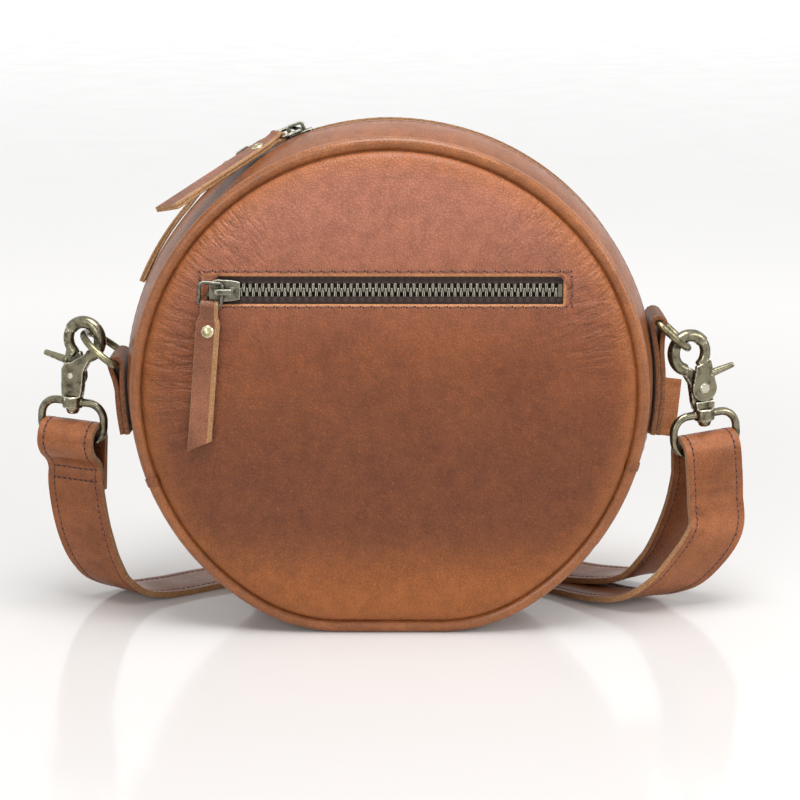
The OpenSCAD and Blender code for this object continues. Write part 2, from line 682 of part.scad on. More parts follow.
// Frame of a ring's bar on the right side: x out of the gusset, z up along it
module at_bar(angle) {
    translate([0, 0, round_cz]) rotate([0, -angle, 0]) translate([ring_bar_r, 0, 0]) children();
}
function on_round(r, a) = [r * cos(a), r * sin(a)];
module ring_tab(angle) {
    end_r = tab_in_r + tab_t + seat_gap;
    link_at = angle - tab_link_l / end_r * 180 / PI;
    bar = on_round(ring_bar_r, angle);
    translate([0, 0, round_cz]) rotate([90, 0, 0]) linear_extrude(tab_w, center = true)
        polygon(concat(arc([0, 0], tab_in_r, tab_low_angle, angle),
            arc(bar, tab_loop_r + tab_t, angle + 180 - 15, angle),
            arc([0, 0], end_r + tab_t, link_at, tab_low_angle, 6),
            arc([0, 0], end_r, tab_low_angle, link_at, 6),
            arc(bar, tab_loop_r, angle, angle + 180),
            arc([0, 0], tab_in_r + tab_t, angle - 1, tab_low_angle)));
}
module ring() {
    r = ring_wire / 2;
    straight = ring_half_w - ring_corner;
    rotate([90, 0, 0]) cylinder(h = 2 * straight, r = r, center = true, $fn = 32);
    for (side = [-1, 1]) {
        translate([ring_corner, side * ring_half_w, 0]) rotate([0, 90, 0])
            cylinder(h = ring_side - ring_corner, r = r, $fn = 32);
        translate([ring_corner, side * straight, 0]) rotate([0, 0, side > 0 ? 90 : 180])
            rotate_extrude(angle = 90) translate([ring_corner, 0]) circle(r, $fn = 32);
    }
    translate([ring_side, 0, 0]) rotate([0, 0, -90]) rotate_extrude(angle = 180)
        translate([ring_half_w, 0]) circle(r, $fn = 32);
}
module left_ring_tab() { color("sienna") mirror([1, 0, 0]) ring_tab(left_bar_angle); }
module right_ring_tab() { color("sienna") ring_tab(right_bar_angle); }
module left_ring() {
    color("darkkhaki") mirror([1, 0, 0]) at_bar(left_bar_angle)
        rotate([0, left_bar_angle - left_ring_tilt, 0]) ring();
}
module right_ring() {
    color("darkkhaki") at_bar(right_bar_angle) rotate([0, right_bar_angle - right_ring_tilt, 0]) ring();
}

// Clip: hook body, trigger, pin and swivel eye
module at_left_clip() {
    translate(left_clip) rotate([0, left_lean, 0]) rotate([0, 0, -clip_yaw]) children();
}
module at_right_clip() {
    translate(right_clip) rotate([0, -right_lean, 0]) rotate([0, 0, 180 + clip_yaw]) children();
}
nose_angle = 148;
hook_from = -72;
module at_hook_c() { translate([hook_c[0], 0, hook_c[1]]) rotate([90, 0, 0]) children(); }
module at_pivot() { translate([0, 0, pivot_z]) rotate([90, 0, 0]) children(); }
module hook_body() {
    // Plate seen from the front: left edge, shoulder, throat and stem, as shares of the hook's places
    half = collar_r;
    difference() {
        union() {
            translate([0, plate_top, 0]) rotate([90, 0, 0]) linear_extrude(plate_top + body_t / 2)
                polygon([[-half, body_from], [half, body_from], [hook_c[0], pivot_z / 2],
                    [hook_c[0] + plate_top, pivot_z + hook_wire / 2],
                    [hook_c[0] + hook_r * 0.45, hook_c[1] - hook_r - hook_wire * 0.2],
                    [hook_c[0] + hook_r * 0.2, hook_c[1] - hook_r + hook_wire * 0.3],
                    [0, pivot_z + trigger_r], [-half * 0.7, pivot_z + trigger_r * 0.9],
                    [-half * 1.05, pivot_z + trigger_r * 0.45]]);
            translate([0, body_t / 2, 0]) rotate([90, 0, 0]) linear_extrude(body_t)
                polygon([[-half * 0.9, body_from], [half * 0.9, body_from],
                    [half, pivot_z - trigger_r - run_gap], [-half, pivot_z - trigger_r - run_gap]]);
            at_hook_c() rotate([0, 0, hook_from]) rotate_extrude(angle = nose_angle - hook_from)
                translate([hook_r, 0]) circle(hook_wire / 2, $fn = 40);
            translate([0, 0, -collar_l / 2 - head_l / 2])
                cylinder(h = collar_l / 2 + head_l / 2 + body_from + seat_gap, r = post_r);
            translate([0, 0, -collar_l / 2 - seat_gap - head_l])
                cylinder(h = head_l, r1 = head_r * 0.7, r2 = head_r);
        }
        at_pivot() cylinder(h = 2 * body_t, r = pin_r, center = true);
        at_hook_c() cylinder(h = 2 * body_t, r = hook_inner_r, center = true);
    }
}
module trigger_body() {
    finger_from = nose_angle + 3;
    finger_to = 236;
    difference() {
        union() {
            at_pivot() translate([0, 0, -trigger_from - trigger_t]) cylinder(h = trigger_t, r = trigger_r);
            at_hook_c() rotate([0, 0, finger_from]) rotate_extrude(angle = finger_to - finger_from)
                translate([hook_r, 0]) circle(hook_wire * 0.42, $fn = 32);
            translate([0, trigger_from + trigger_t, 0]) rotate([90, 0, 0]) linear_extrude(trigger_t)
                polygon([[-trigger_r * 0.93, pivot_z + trigger_r * 0.35],
                    [trigger_r * 0.9, pivot_z + trigger_r * 0.4],
                    [hook_c[0] - hook_r * 0.3, hook_c[1] - hook_r * 0.8],
                    [hook_c[0] - hook_r * 0.7, hook_c[1] - hook_r * 0.75],
                    [hook_c[0] - hook_r * 1.15, hook_c[1] - hook_r * 0.45]]);
            translate([-lever_l - hook_wire * 0.7, lever_t / 2, pivot_z + trigger_r + lever_t])
                rotate([0, 102, 0]) cylinder(h = lever_l, r1 = lever_t * 0.35, r2 = lever_t * 0.55);
        }
        at_pivot() cylinder(h = 2 * body_t, r = pin_r + post_gap, center = true);
    }
}
module trigger_pin_body() {
    at_pivot() {
        cylinder(h = body_t + trigger_from, r = pin_r, center = true);
        translate([0, 0, -trigger_from - trigger_t - seat_gap - plate_top])
            cylinder(h = plate_top, r1 = pin_head_r * 0.7, r2 = pin_head_r);
    }
}
module eye_body() {
    r = eye_wire / 2;
    straight = eye_half_w - eye_corner;
    difference() {
        union() {
            cylinder(h = collar_l, r = collar_r, center = true);
            for (z = [0, -eye_drop]) translate([0, 0, z]) rotate([0, 90, 0])
                cylinder(h = 2 * straight, r = r, center = true, $fn = 32);
            for (side = [-1, 1]) translate([side * eye_half_w, 0, -eye_drop + eye_corner])
                cylinder(h = eye_drop - 2 * eye_corner, r = r, $fn = 32);
            for (k = [0 : 3])
                translate([(k % 3 == 0 ? 1 : -1) * straight, 0,
                    k < 2 ? -eye_corner : -eye_drop + eye_corner])
                    rotate([90, 0, 0]) rotate([0, 0, 90 * k])
                        rotate_extrude(angle = 90) translate([eye_corner, 0]) circle(r, $fn = 32);
        }
        cylinder(h = 2 * collar_l, r = post_r + post_gap, center = true);
    }
}
module left_hook() { color("darkkhaki") at_left_clip() hook_body(); }
module left_trigger() { color("darkkhaki") at_left_clip() trigger_body(); }
module left_trigger_pin() { color("khaki") at_left_clip() trigger_pin_body(); }
module left_eye() { color("darkkhaki") at_left_clip() eye_body(); }
module right_hook() { color("darkkhaki") at_right_clip() hook_body(); }
module right_trigger() { color("darkkhaki") at_right_clip() trigger_body(); }
module right_trigger_pin() { color("khaki") at_right_clip() trigger_pin_body(); }
module right_eye() { color("darkkhaki") at_right_clip() eye_body(); }

// Strap: round the left eye, down to the table, behind the bag, up round the right eye and back.
// Places near an eye are [back from the eye's plane, up from its collar].
fold_in_r = 5.1;
fold_r = fold_in_r + strap_t / 2;
fold_z = -15.5;
left_fold = concat([[fold_r, -38], [fold_r, -29], [fold_r, -21]],
    [for (a = [0 : 30 : 180]) [fold_r * cos(a), fold_z + fold_r * sin(a)]],
    [[-fold_r * 0.95, -18.5], [-fold_r * 0.6, -22], [0, -25], [fold_r - strap_t * 1.6, -27.5],
    [fold_r - strap_t - run_gap, -31], [fold_r - strap_t - run_gap, -37]]);
right_fold = concat([[-fold_r * 0.9, -36], [-fold_r, -29], [-fold_r * 1.02, -21]],
    [for (a = [180 : -30 : 0]) [fold_r * cos(a), fold_z + fold_r * sin(a)]],
    [[fold_r * 1.1, -21], [fold_r * 1.35, -28]]);
left_across = clip_turn(left_lean, -clip_yaw, [1, 0, 0]);
right_across = clip_turn(-right_lean, 180 + clip_yaw, [1, 0, 0]);
// Places on the way, as shares of the bag's width, and the directions across the strap there
left_way_shares = [[-0.627, 0.016, 0.19], [-0.616, 0.018, 0.14], [-0.6, 0.026, 0.092],
    [-0.575, 0.045, 0.048], [-0.53, 0.08, 0.016]];
left_way_across = [[0.94, -0.34, 0], [0.93, -0.36, 0], [0.9, -0.44, 0], [0.83, -0.55, 0.02],
    [0.72, -0.69, 0.02]];
floor_way_shares = [[-0.46, 0.125], [-0.38, 0.18], [-0.28, 0.225], [-0.16, 0.252], [-0.03, 0.26],
    [0.1, 0.252], [0.21, 0.228], [0.3, 0.19], [0.375, 0.135]];
floor_way_across = [[0.6, -0.8, 0], [0.5, -0.87, 0], [0.3, -0.95, 0], [0.12, -0.99, 0], [0, -1, 0],
    [-0.12, -0.99, 0], [-0.3, -0.95, 0], [-0.55, -0.83, 0], [-0.75, -0.66, 0]];
right_way_shares = [[0.45, 0.06, 0.012], [0.512, 0.015, 0.026], [0.57, -0.012, 0.062],
    [0.62, -0.02, 0.115], [0.653, -0.022, 0.175]];
right_way_across = [[-0.85, -0.52, 0.02], [-0.88, -0.47, 0], [-0.91, -0.41, 0], [-0.93, -0.36, 0],
    [-0.94, -0.34, 0]];
back_way_shares = [[0.614, 0.06, 0.2], [0.584, 0.07, 0.135], [0.543, 0.087, 0.08], [0.49, 0.115, 0.038]];
back_way_across = [[-0.94, -0.34, 0], [-0.93, -0.36, 0], [-0.88, -0.47, 0], [-0.8, -0.6, 0]];
stack_way_shares = [[0.42, 0.17], [0.34, 0.215], [0.25, 0.245], [0.14, 0.258], [0.02, 0.262],
    [-0.1, 0.258]];
stack_way_across = [[-0.65, -0.76, 0], [-0.5, -0.87, 0], [-0.3, -0.95, 0], [-0.1, -0.99, 0], [0, -1, 0],
    [0, -1, 0]];
tail_way_shares = [[-0.22, 0.256, 0.045], [-0.3, 0.252, 0.12], [-0.3, 0.248, 0.22],
    [-0.22, 0.244, 0.31], [-0.08, 0.237, 0.37], [0.1, 0.222, 0.395], [0.3, 0.212, 0.395],
    [0.48, 0.207, 0.385], [0.6, 0.205, 0.372]];
tail_way_across = [[0, -1, 0], [0, -1, 0], [0, -1, -0.1], [0.1, -0.9, -0.35], [0.1, -0.7, -0.7],
    [0, -0.45, -0.9], [0, -0.3, -0.95], [-0.02, -0.25, -0.97], [-0.05, -0.22, -0.97]];
floor_lift = 0.22;
floor_z = strap_t / 2 + floor_lift;
stack_z = floor_z + strap_t + floor_lift;
strap_places = concat(
    [for (p = left_fold) left_clip + clip_turn(left_lean, -clip_yaw, [0, p[0], p[1]])],
    left_way_shares * bag_w,
    [for (p = floor_way_shares) [p[0] * bag_w, p[1] * bag_w, floor_z]],
    right_way_shares * bag_w,
    [for (p = right_fold) right_clip + clip_turn(-right_lean, 180 + clip_yaw, [0, -p[0], p[1]])],
    back_way_shares * bag_w,
    [for (p = stack_way_shares) [p[0] * bag_w, p[1] * bag_w, stack_z]],
    tail_way_shares * bag_w);
strap_across = concat([for (p = left_fold) left_across], left_way_across, floor_way_across,
    right_way_across, [for (p = right_fold) right_across], back_way_across, stack_way_across,
    tail_way_across);
module shoulder_strap() {
    color("sienna") ribbon(smooth(strap_places, 2), smooth(strap_across, 2), strap_w, strap_t);
}
// Stud that holds the strap's return end on the strap, behind the bag
stud_x = 0.02;
stud_y = 0.262;
stud_r = 2;
module strap_stud() {
    color("darkkhaki") translate([stud_x * bag_w, stud_y * bag_w, floor_z]) {
        cylinder(h = 2 * strap_t + stud_r, r = stud_r);
        translate([0, 0, 2 * strap_t + stud_r]) sphere(stud_r * 1.6);
    }
}

front_panel();
back_panel();
front_piping();
back_piping();
piping_wraps();
base_gusset();
zip_gusset_front();
zip_gusset_back();
main_tape_front();
main_tape_back();
main_teeth_front();
main_teeth_back();
main_zip_stops();
front_lining();
back_lining();
gusset_lining();
pocket_tape_upper();
pocket_tape_lower();
pocket_teeth_upper();
pocket_teeth_lower();
pocket_zip_stops();
pocket_pouch();
pocket_slider();
pocket_bail();
pocket_pull();
pocket_pull_rivet();
top_slider_right();
top_bail_right();
top_pull_right();
top_pull_rivet_right();
top_slider_left();
top_bail_left();
top_pull_left();
top_pull_rivet_left();
left_ring_tab();
left_ring();
left_hook();
left_trigger();
left_trigger_pin();
left_eye();
right_ring_tab();
right_ring();
right_hook();
right_trigger();
right_trigger_pin();
right_eye();
shoulder_strap();
strap_stud();
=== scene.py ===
"""Looks of the round leather shoulder bag.

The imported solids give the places. This script dresses them: crowned leather discs, piping,
gusset, zips, pulls, cast clips and the stitched strap. Lengths in the classes are millimetres;
meshes are made in metres, in the frame of the solids.
"""
import json
import logging
import math
import sys
from collections.abc import Callable, Sequence
from dataclasses import dataclass, field
from enum import Enum
from functools import cache
from typing import Any, ClassVar

import bmesh
import bpy
from mathutils import Matrix, Vector, geometry, noise

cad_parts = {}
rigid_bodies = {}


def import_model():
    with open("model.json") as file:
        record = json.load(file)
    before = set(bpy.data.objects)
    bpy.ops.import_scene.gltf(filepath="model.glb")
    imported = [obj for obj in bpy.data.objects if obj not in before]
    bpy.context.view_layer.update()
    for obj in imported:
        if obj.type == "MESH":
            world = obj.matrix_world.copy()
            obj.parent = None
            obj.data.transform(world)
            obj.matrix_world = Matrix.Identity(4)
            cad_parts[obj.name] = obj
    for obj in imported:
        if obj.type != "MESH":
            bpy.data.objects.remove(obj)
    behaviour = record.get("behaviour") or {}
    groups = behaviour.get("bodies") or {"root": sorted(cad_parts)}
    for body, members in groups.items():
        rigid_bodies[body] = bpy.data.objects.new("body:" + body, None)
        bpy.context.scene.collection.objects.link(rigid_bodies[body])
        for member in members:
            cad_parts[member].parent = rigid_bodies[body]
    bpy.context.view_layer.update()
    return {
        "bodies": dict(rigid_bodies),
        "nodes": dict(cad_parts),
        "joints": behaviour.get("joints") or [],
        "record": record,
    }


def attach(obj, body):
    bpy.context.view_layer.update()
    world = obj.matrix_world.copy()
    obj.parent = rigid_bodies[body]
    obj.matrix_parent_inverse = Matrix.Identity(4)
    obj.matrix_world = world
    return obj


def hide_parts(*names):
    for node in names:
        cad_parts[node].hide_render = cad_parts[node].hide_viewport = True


MM = 0.001
LOG = logging.getLogger("circle_bag")
SIDES = {"front": 1, "back": -1}

Pair = tuple[float, float]
Place = Callable[[float, float, float], Vector]
Run = tuple[tuple[float | None, ...], ...]
Socket = bpy.types.NodeSocket


# Materials

def linear(code: str) -> tuple[float, float, float, float]:
    """Turn an sRGB hex colour such as "#b97c66" into linear light, with an opacity of 1.

    Args:
        code: Colour as a hash and six hex digits.

    Returns:
        Red, green, blue and opacity.
    """
    parts = [int(code[i:i + 2], 16) / 255 for i in (1, 3, 5)]
    low = [p / 12.92 if p <= 0.04045 else ((p + 0.055) / 1.055) ** 2.4 for p in parts]
    return (low[0], low[1], low[2], 1.0)


SMOOTH = {"interpolation_type": "SMOOTHSTEP"}
COLOURS = {"data_type": "RGBA"}
TIMES = {"operation": "MULTIPLY"}
PLUS = {"operation": "ADD"}


def per_mm(size: float) -> float:
    """Return the texture scale at which one cell of a pattern is size millimetres wide."""
    return 1 / (size * MM)


def span(value: Socket, low: float, high: float, to: Pair = (0.0, 1.0)) -> dict[str, Any]:
    """Return the inputs that stretch a value: from low to high it runs between the two results."""
    return {"Value": value, "From Min": low, "From Max": high, "To Min": to[0], "To Max": to[1]}


class Graph:
    """Node tree of a material, with the object coordinates that its patterns use."""

    def __init__(self, tree: bpy.types.NodeTree) -> None:
        """Empty the tree and fetch the object coordinates, in metres.

        Args:
            tree: Node tree of a material or of the world.
        """
        self.tree = tree
        tree.nodes.clear()
        self.where = self.add("TexCoord", out="Object")

    def add(self, kind: str, settings: dict[str, Any] | None = None,
            inputs: dict[str | int, Any] | None = None, out: str | int = 0) -> Socket | None:
        """Add a node with its settings and links.

        Args:
            kind: Node type, without the words ShaderNode in front.
            settings: Properties of the node.
            inputs: Input name or number, with a value, a hex colour or the socket to link.
            out: Name or number of the output that is wanted.

        Returns:
            The socket of that output, where the node has one.
        """
        made = self.tree.nodes.new("ShaderNode" + kind)
        for key, value in (settings or {}).items():
            setattr(made, key, value)
        for key, value in (inputs or {}).items():
            if isinstance(value, Socket):
                self.tree.links.new(value, made.inputs[key])
            else:
                made.inputs[key].default_value = linear(value) if isinstance(value, str) else value
        return made.outputs[out] if made.outputs else None

    def blotches(self, size: float, detail: float = 2.0, rough: float = 0.5) -> dict[str, Any]:
        """Return the inputs of a noise whose blotches are about size millimetres wide."""
        return {"Vector": self.where, "Scale": per_mm(size), "Detail": detail, "Roughness": rough}

    def patches(self, size: float, detail: float, rough: float, low: float, high: float,
                to: Pair = (0.0, 1.0)) -> Socket:
        """Spread a value over patches.

        Args:
            size: Width of a patch in millimetres.
            detail: Levels of finer patches inside.
            rough: Strength of those levels.
            low: Noise that gives the first result.
            high: Noise that gives the second result.
            to: The two results.

        Returns:
            The value's socket.
        """
        spots = self.add("TexNoise", inputs=self.blotches(size, detail, rough))
        return self.add("MapRange", SMOOTH, span(spots, low, high, to))

    def layered(self, base: Any, coats: Sequence[tuple[Any, Any]]) -> Socket:
        """Lay coats of colour over a base, each with the share that it covers.

        Args:
            base: Colour or socket underneath.
            coats: Share and colour of each coat, from the lowest up.

        Returns:
            The colour's socket.
        """
        for share, colour in coats:
            base = self.add("Mix", COLOURS, {0: share, 6: base, 7: colour}, 2)
        return base

    def close(self, inputs: dict[str, Any], bump: tuple[float, float, Socket] | None = None) -> None:
        """End the material with its surface.

        Args:
            inputs: Inputs of the surface shader.
            bump: Strength, distance in millimetres and height of the relief.
        """
        if bump:
            relief = {"Strength": bump[0], "Distance": bump[1] * MM, "Height": bump[2]}
            inputs = {**inputs, "Normal": self.add("Bump", inputs=relief)}
        self.add("OutputMaterial", inputs={"Surface": self.add("BsdfPrincipled", inputs=inputs)})


@dataclass(frozen=True)
class Look:
    """What every finish has: a name, its main colour and its darker one."""
    name: str
    base: str
    deep: str

    def build(self) -> bpy.types.Material:
        """Build the material and return it.

        Returns:
            The new material.
        """
        made = bpy.data.materials.new(self.name)
        made.use_nodes = True
        self.wire(Graph(made.node_tree))
        return made

    def wire(self, g: Graph) -> None:
        """Fill the material's nodes."""
        raise NotImplementedError


@dataclass(frozen=True)
class GrainLeather(Look):
    """Full-grain leather, drum dyed and waxed: a soft sheen over pebbled grain and fine pores.

    The wax darkens the low places and the dye wears to orange where the hide is stretched; on the bends of
    the strap and tabs that orange also serves as a painted highlight. The panel adds painted light by height:
    a pinker painted sheen towards the top, painted shade lower down and painted bounce light near the table.
    """
    stretched: str
    fleck: str
    painted_top_sheen: str | None = None
    painted_low_shade: str | None = None
    bare: str = "#c9885a"
    roughness: float = 0.46
    coat: float = 0.12
    grain_mm: float = 1.3
    relief: float = 0.35
    creases: bool = False

    def wire(self, g: Graph) -> None:
        """Fill the material's nodes.

        Args:
            g: Graph to fill.
        """
        # Dye takes unevenly over patches of a few centimetres
        coats = [(g.patches(38, 3, 0.6, 0.35, 0.68), self.base)]
        # Painted light by height: the top colour paints the sheen of the top lamp and the room's reflection,
        # the low colour paints shade on the lower half, and the stretched colour near the table paints bounce
        # light
        if self.painted_top_sheen:
            height = g.add("SeparateXYZ", inputs={0: g.where}, out="Z")
            coats += [(g.add("MapRange", SMOOTH, span(height, low, high)), tint) for low, high, tint in (
                (0.112, 0.185, self.painted_top_sheen), (0.12, 0.07, self.painted_low_shade), (0.05, 0.012, self.stretched))]
        # Orange flecks where the finish has rubbed off the grain, about a millimetre across
        coats.append((g.patches(1.6, 3, 0.7, 0.56, 0.74, (0.0, 0.4)), self.fleck))
        coats += [(g.add("Attribute", {"attribute_name": mark}, out="Fac"), tint)
                  for mark, tint in (("stretch", self.stretched), ("bare", self.bare))]
        pores = g.add("TexVoronoi", {"feature": "DISTANCE_TO_EDGE"},
                      {"Vector": g.where, "Scale": per_mm(self.grain_mm)}, "Distance")
        low = g.add("Math", TIMES, {0: g.add("MapRange", SMOOTH, span(pores, 0.0, 0.16, (0.76, 1.02))),
                                    1: g.patches(5, 4, 0.65, 0.3, 0.7, (0.84, 1.08))})
        shade = g.add("CombineColor", inputs={0: low, 1: low, 2: low})
        colour = g.add("Mix", {**COLOURS, "blend_type": "MULTIPLY"},
                       {0: 1.0, 6: g.layered(self.deep, coats), 7: shade}, 2)
        rough = g.patches(14, 3, 0.5, 0.3, 0.7, (self.roughness - 0.06, self.roughness + 0.08))
        pits = g.add("Math", TIMES, {0: g.add("MapRange", SMOOTH, span(pores, 0.0, 0.3)), 1: self.relief})
        pebble = g.add("Math", TIMES, {0: g.add("TexNoise", inputs=g.blotches(2.6, 3, 0.6)), 1: 0.5})
        height = g.add("Math", PLUS, {0: pits, 1: pebble})
        if self.creases:
            height = g.add("Math", PLUS, {0: height, 1: self.crease_height(g)})
        g.close({"Base Color": colour, "Roughness": rough, "Specular IOR Level": 0.3,
                 "Coat Weight": self.coat, "Coat Roughness": 0.24}, (0.55, 0.35, height))

    def crease_height(self, g: Graph) -> Socket:
        """Height of the wrinkles that run out to the rim, only where the mesh says the hide is gathered.

        Args:
            g: Graph to fill.

        Returns:
            The height's socket.
        """
        # Round the middle a wrinkle is narrow, and along its run it is three times as long
        middle, narrow, along = 99 * MM, 0.085, 0.28
        x = g.add("SeparateXYZ", inputs={0: g.where}, out="X")
        z = g.add("SeparateXYZ", inputs={0: g.where}, out="Z")
        up = g.add("Math", {"operation": "SUBTRACT"}, {0: z, 1: middle})
        squares = g.add("Math", PLUS, {0: g.add("Math", TIMES, {0: up, 1: up}),
                                       1: g.add("Math", TIMES, {0: x, 1: x})})
        out = g.add("Math", {"operation": "SQRT"}, {0: squares})
        turn = g.add("Math", {"operation": "ARCTAN2"}, {0: up, 1: x})
        around = g.add("CombineXYZ", inputs={0: g.add("Math", TIMES, {0: turn, 1: narrow}),
                                             1: g.add("Math", TIMES, {0: out, 1: along}), 2: 0.0})
        lines = g.add("TexNoise", inputs={**g.blotches(3.4, 3.0, 0.55), "Vector": around, "Distortion": 0.6})
        folds = g.add("Math", TIMES, {0: g.add("MapRange", SMOOTH, span(lines, 0.36, 0.6)), 1: 5.0})
        return g.add("Math", TIMES, {0: folds,
                                     1: g.add("Attribute", {"attribute_name": "gather"}, out="Fac")})


@dataclass(frozen=True)
class CutLeather(Look):
    """Cut edge or flesh side of leather: matt, pale and fuzzy with loose fibres."""

    def wire(self, g: Graph) -> None:
        """Fill the material's nodes.

        Args:
            g: Graph to fill.
        """
        fibres = g.add("TexNoise", inputs=g.blotches(0.7, 4, 0.75))
        colour = g.layered(self.deep, [(g.add("MapRange", SMOOTH, span(fibres, 0.35, 0.65)), self.base),
                                       (g.patches(9, 2, 0.5, 0.4, 0.7, (0.0, 0.35)), self.deep)])
        g.close({"Base Color": colour, "Roughness": 0.88, "Specular IOR Level": 0.25, "Sheen Weight": 0.25,
                 "Sheen Roughness": 0.5}, (0.8, 0.4, fibres))


@dataclass(frozen=True)
class WovenCloth(Look):
    """Woven polyester or cotton: threads over and under, drawn at twice their real spacing to show."""
    thread_mm: float = 0.5

    def wire(self, g: Graph) -> None:
        """Fill the material's nodes.

        Args:
            g: Graph to fill.
        """
        # A wave texture draws twenty bands to the unit of its scale
        bands = {"Vector": g.where, "Scale": per_mm(self.thread_mm) / 20, "Distortion": 0.6, "Detail": 1.0,
                 "Detail Scale": 1.5}
        over, under = (g.add("TexWave", {"wave_type": "BANDS", "bands_direction": way}, bands, "Fac")
                       for way in ("X", "Z"))
        height = g.add("Math", TIMES, {0: over, 1: under})
        fuzz = g.add("Math", TIMES, {0: height, 1: g.add("TexNoise", inputs=g.blotches(2.2, 4, 0.7))})
        g.close({"Base Color": g.layered(self.deep, [(fuzz, self.base)]), "Roughness": 0.85,
                 "Specular IOR Level": 0.2, "Sheen Weight": 0.15}, (0.5, 0.2, height))


@dataclass(frozen=True)
class WaxedThread(Look):
    """Bonded nylon sewing thread: two plies twisted together, with a dull sheen."""

    def wire(self, g: Graph) -> None:
        """Fill the material's nodes.

        Args:
            g: Graph to fill.
        """
        plies = g.add("TexNoise", inputs=g.blotches(0.5))
        share = g.add("MapRange", SMOOTH, span(plies, 0.35, 0.65))
        g.close({"Base Color": g.layered(self.deep, [(share, self.base)]), "Roughness": 0.6},
                (0.5, 0.1, plies))


@dataclass(frozen=True)
class PlatedZinc(Look):
    """Die-cast zinc or brass with an antique plating: rubbed bright on edges, dark in the corners. The edge
    brightening is partly rubbed wear and partly painted highlight, and the darkening in corners and occluded
    places partly real patina and partly painted shade.
    """
    bright: str
    roughness: float = 0.3
    patina_mm: float = 4.0

    def wire(self, g: Graph) -> None:
        """Fill the material's nodes.

        Args:
            g: Graph to fill.
        """
        corner = g.add("NewGeometry", out="Pointiness")
        stain = g.add("TexNoise", inputs=g.blotches(self.patina_mm, 4, 0.65))
        occlusion_patina_and_shade = g.add("AmbientOcclusion", {"samples": 8}, {"Distance": 3 * MM}, "AO")
        # Coats from the lowest up: random patina stains; darker in concave corners and where nearby metal
        # occludes, partly patina and partly painted shade; lighter on sharp edges, partly rubbed wear and
        # partly painted highlight
        coats = [(g.add("MapRange", SMOOTH, span(value, low, high, to)), tint)
                 for value, low, high, to, tint in (
                     (stain, 0.4, 0.75, (0.0, 1.0), self.deep), (corner, 0.44, 0.49, (0.85, 0.0), self.deep),
                     (occlusion_patina_and_shade, 0.25, 0.85, (0.85, 0.0), self.deep),
                     (corner, 0.51, 0.56, (0.0, 0.8), self.bright))]
        rough = span(stain, 0.3, 0.7, (self.roughness - 0.06, self.roughness + 0.14))
        g.close({"Base Color": g.layered(self.base, coats), "Metallic": 1.0,
                 "Roughness": g.add("MapRange", SMOOTH, rough)},
                (0.15, 0.1, g.add("TexNoise", inputs=g.blotches(0.9, 3))))


@dataclass(frozen=True)
class NeedleHole(Look):
    """Shadow inside a needle hole: nearly black and dull."""

    def wire(self, g: Graph) -> None:
        """Fill the material's nodes."""
        spots = g.add("TexNoise", inputs=g.blotches(0.6))
        g.close({"Base Color": g.layered(self.base, [(spots, self.deep)]), "Roughness": 0.9})


class Finish(Enum):
    """Finishes of the bag. The material slots of a piece follow this order."""
    # The panel's fourth and fifth colours are its painted top sheen and painted low shade
    PANEL = GrainLeather("waxed_grain_leather_panel", "#92532f", "#7e4426", "#a4602f", "#a86430", "#b4745c",
                         "#754024", roughness=0.42, coat=0.06, relief=0.6, creases=True)
    GUSSET = GrainLeather("waxed_grain_leather_gusset", "#935836", "#7d4728", "#a4673b", "#a86c40",
                          roughness=0.33, coat=0.2)
    PIPING = GrainLeather("waxed_grain_leather_piping", "#9e5f35", "#844b28", "#ab6a3a", "#b07442",
                          roughness=0.3, coat=0.3)
    # The strap's stretched colour is pale enough to also paint the highlight on its fold tops
    STRAP = GrainLeather("waxed_grain_leather_strap", "#93562f", "#7a4424", "#bd764a", "#a36436",
                         roughness=0.4, coat=0.06)
    PULL = GrainLeather("waxed_grain_leather_pull", "#9a6145", "#7b4a31", "#a86a40", "#9c6641",
                        roughness=0.36, relief=0.6)
    EDGE = CutLeather("raw_cut_leather_edge", "#c0946a", "#93683f")
    FLESH = CutLeather("suede_flesh_side", "#7d5436", "#523421")
    TAPE = WovenCloth("woven_polyester_zip_tape", "#675750", "#3a302e")
    LINING = WovenCloth("woven_cotton_lining", "#8f7a60", "#6e5b45", 0.6)
    THREAD = WaxedThread("waxed_nylon_thread", "#875548", "#5a362d")
    TEETH = PlatedZinc("antique_brass_zip_teeth", "#8a8474", "#26231d", "#dcd7c7", 0.32, 2.0)
    SLIDER = PlatedZinc("antique_nickel_zip_slider", "#7f7c6e", "#3a372f", "#d6d2c0")
    RING = PlatedZinc("antique_brass_ring", "#8d8667", "#3d3929", "#e6e0bd", 0.24)
    CLIP = PlatedZinc("antique_brass_cast_clip", "#89836d", "#28251e", "#f4efdc", 0.22)
    RIVET = PlatedZinc("pale_brass_rivet", "#c4b78d", "#7d7150", "#f2edd2", 0.2)
    HOLE_SHADOW = NeedleHole("needle_hole_shadow", "#2b1a12", "#1c120c")
    BAIL = PlatedZinc("antique_bronze_bail_wire", "#807d72", "#2c2a24", "#d8d5c6", 0.26, 2.0)
    TAB_EDGE = CutLeather("burnished_cut_edge", "#9c6643", "#5f3c27")
    # The stops' dark base is painted shade: it keeps them from showing the bright reflection of the white
    # room
    STOP = PlatedZinc("zip_stop_painted_shade", "#45413a", "#1e1c18", "#7a7466", 0.45, 2.0)


@cache
def paint(finish: Finish) -> bpy.types.Material:
    """Return a finish's material, built on its first use and then shared."""
    return finish.value.build()


# Meshes

def add_object(name: str, data: bpy.types.ID) -> bpy.types.Object:
    """Put a mesh, lamp or camera into the scene and return its object.

    Args:
        name: Name of the object.
        data: Its mesh, lamp or camera data.

    Returns:
        The object.
    """
    made = bpy.data.objects.new(name, data)
    bpy.context.scene.collection.objects.link(made)
    return made


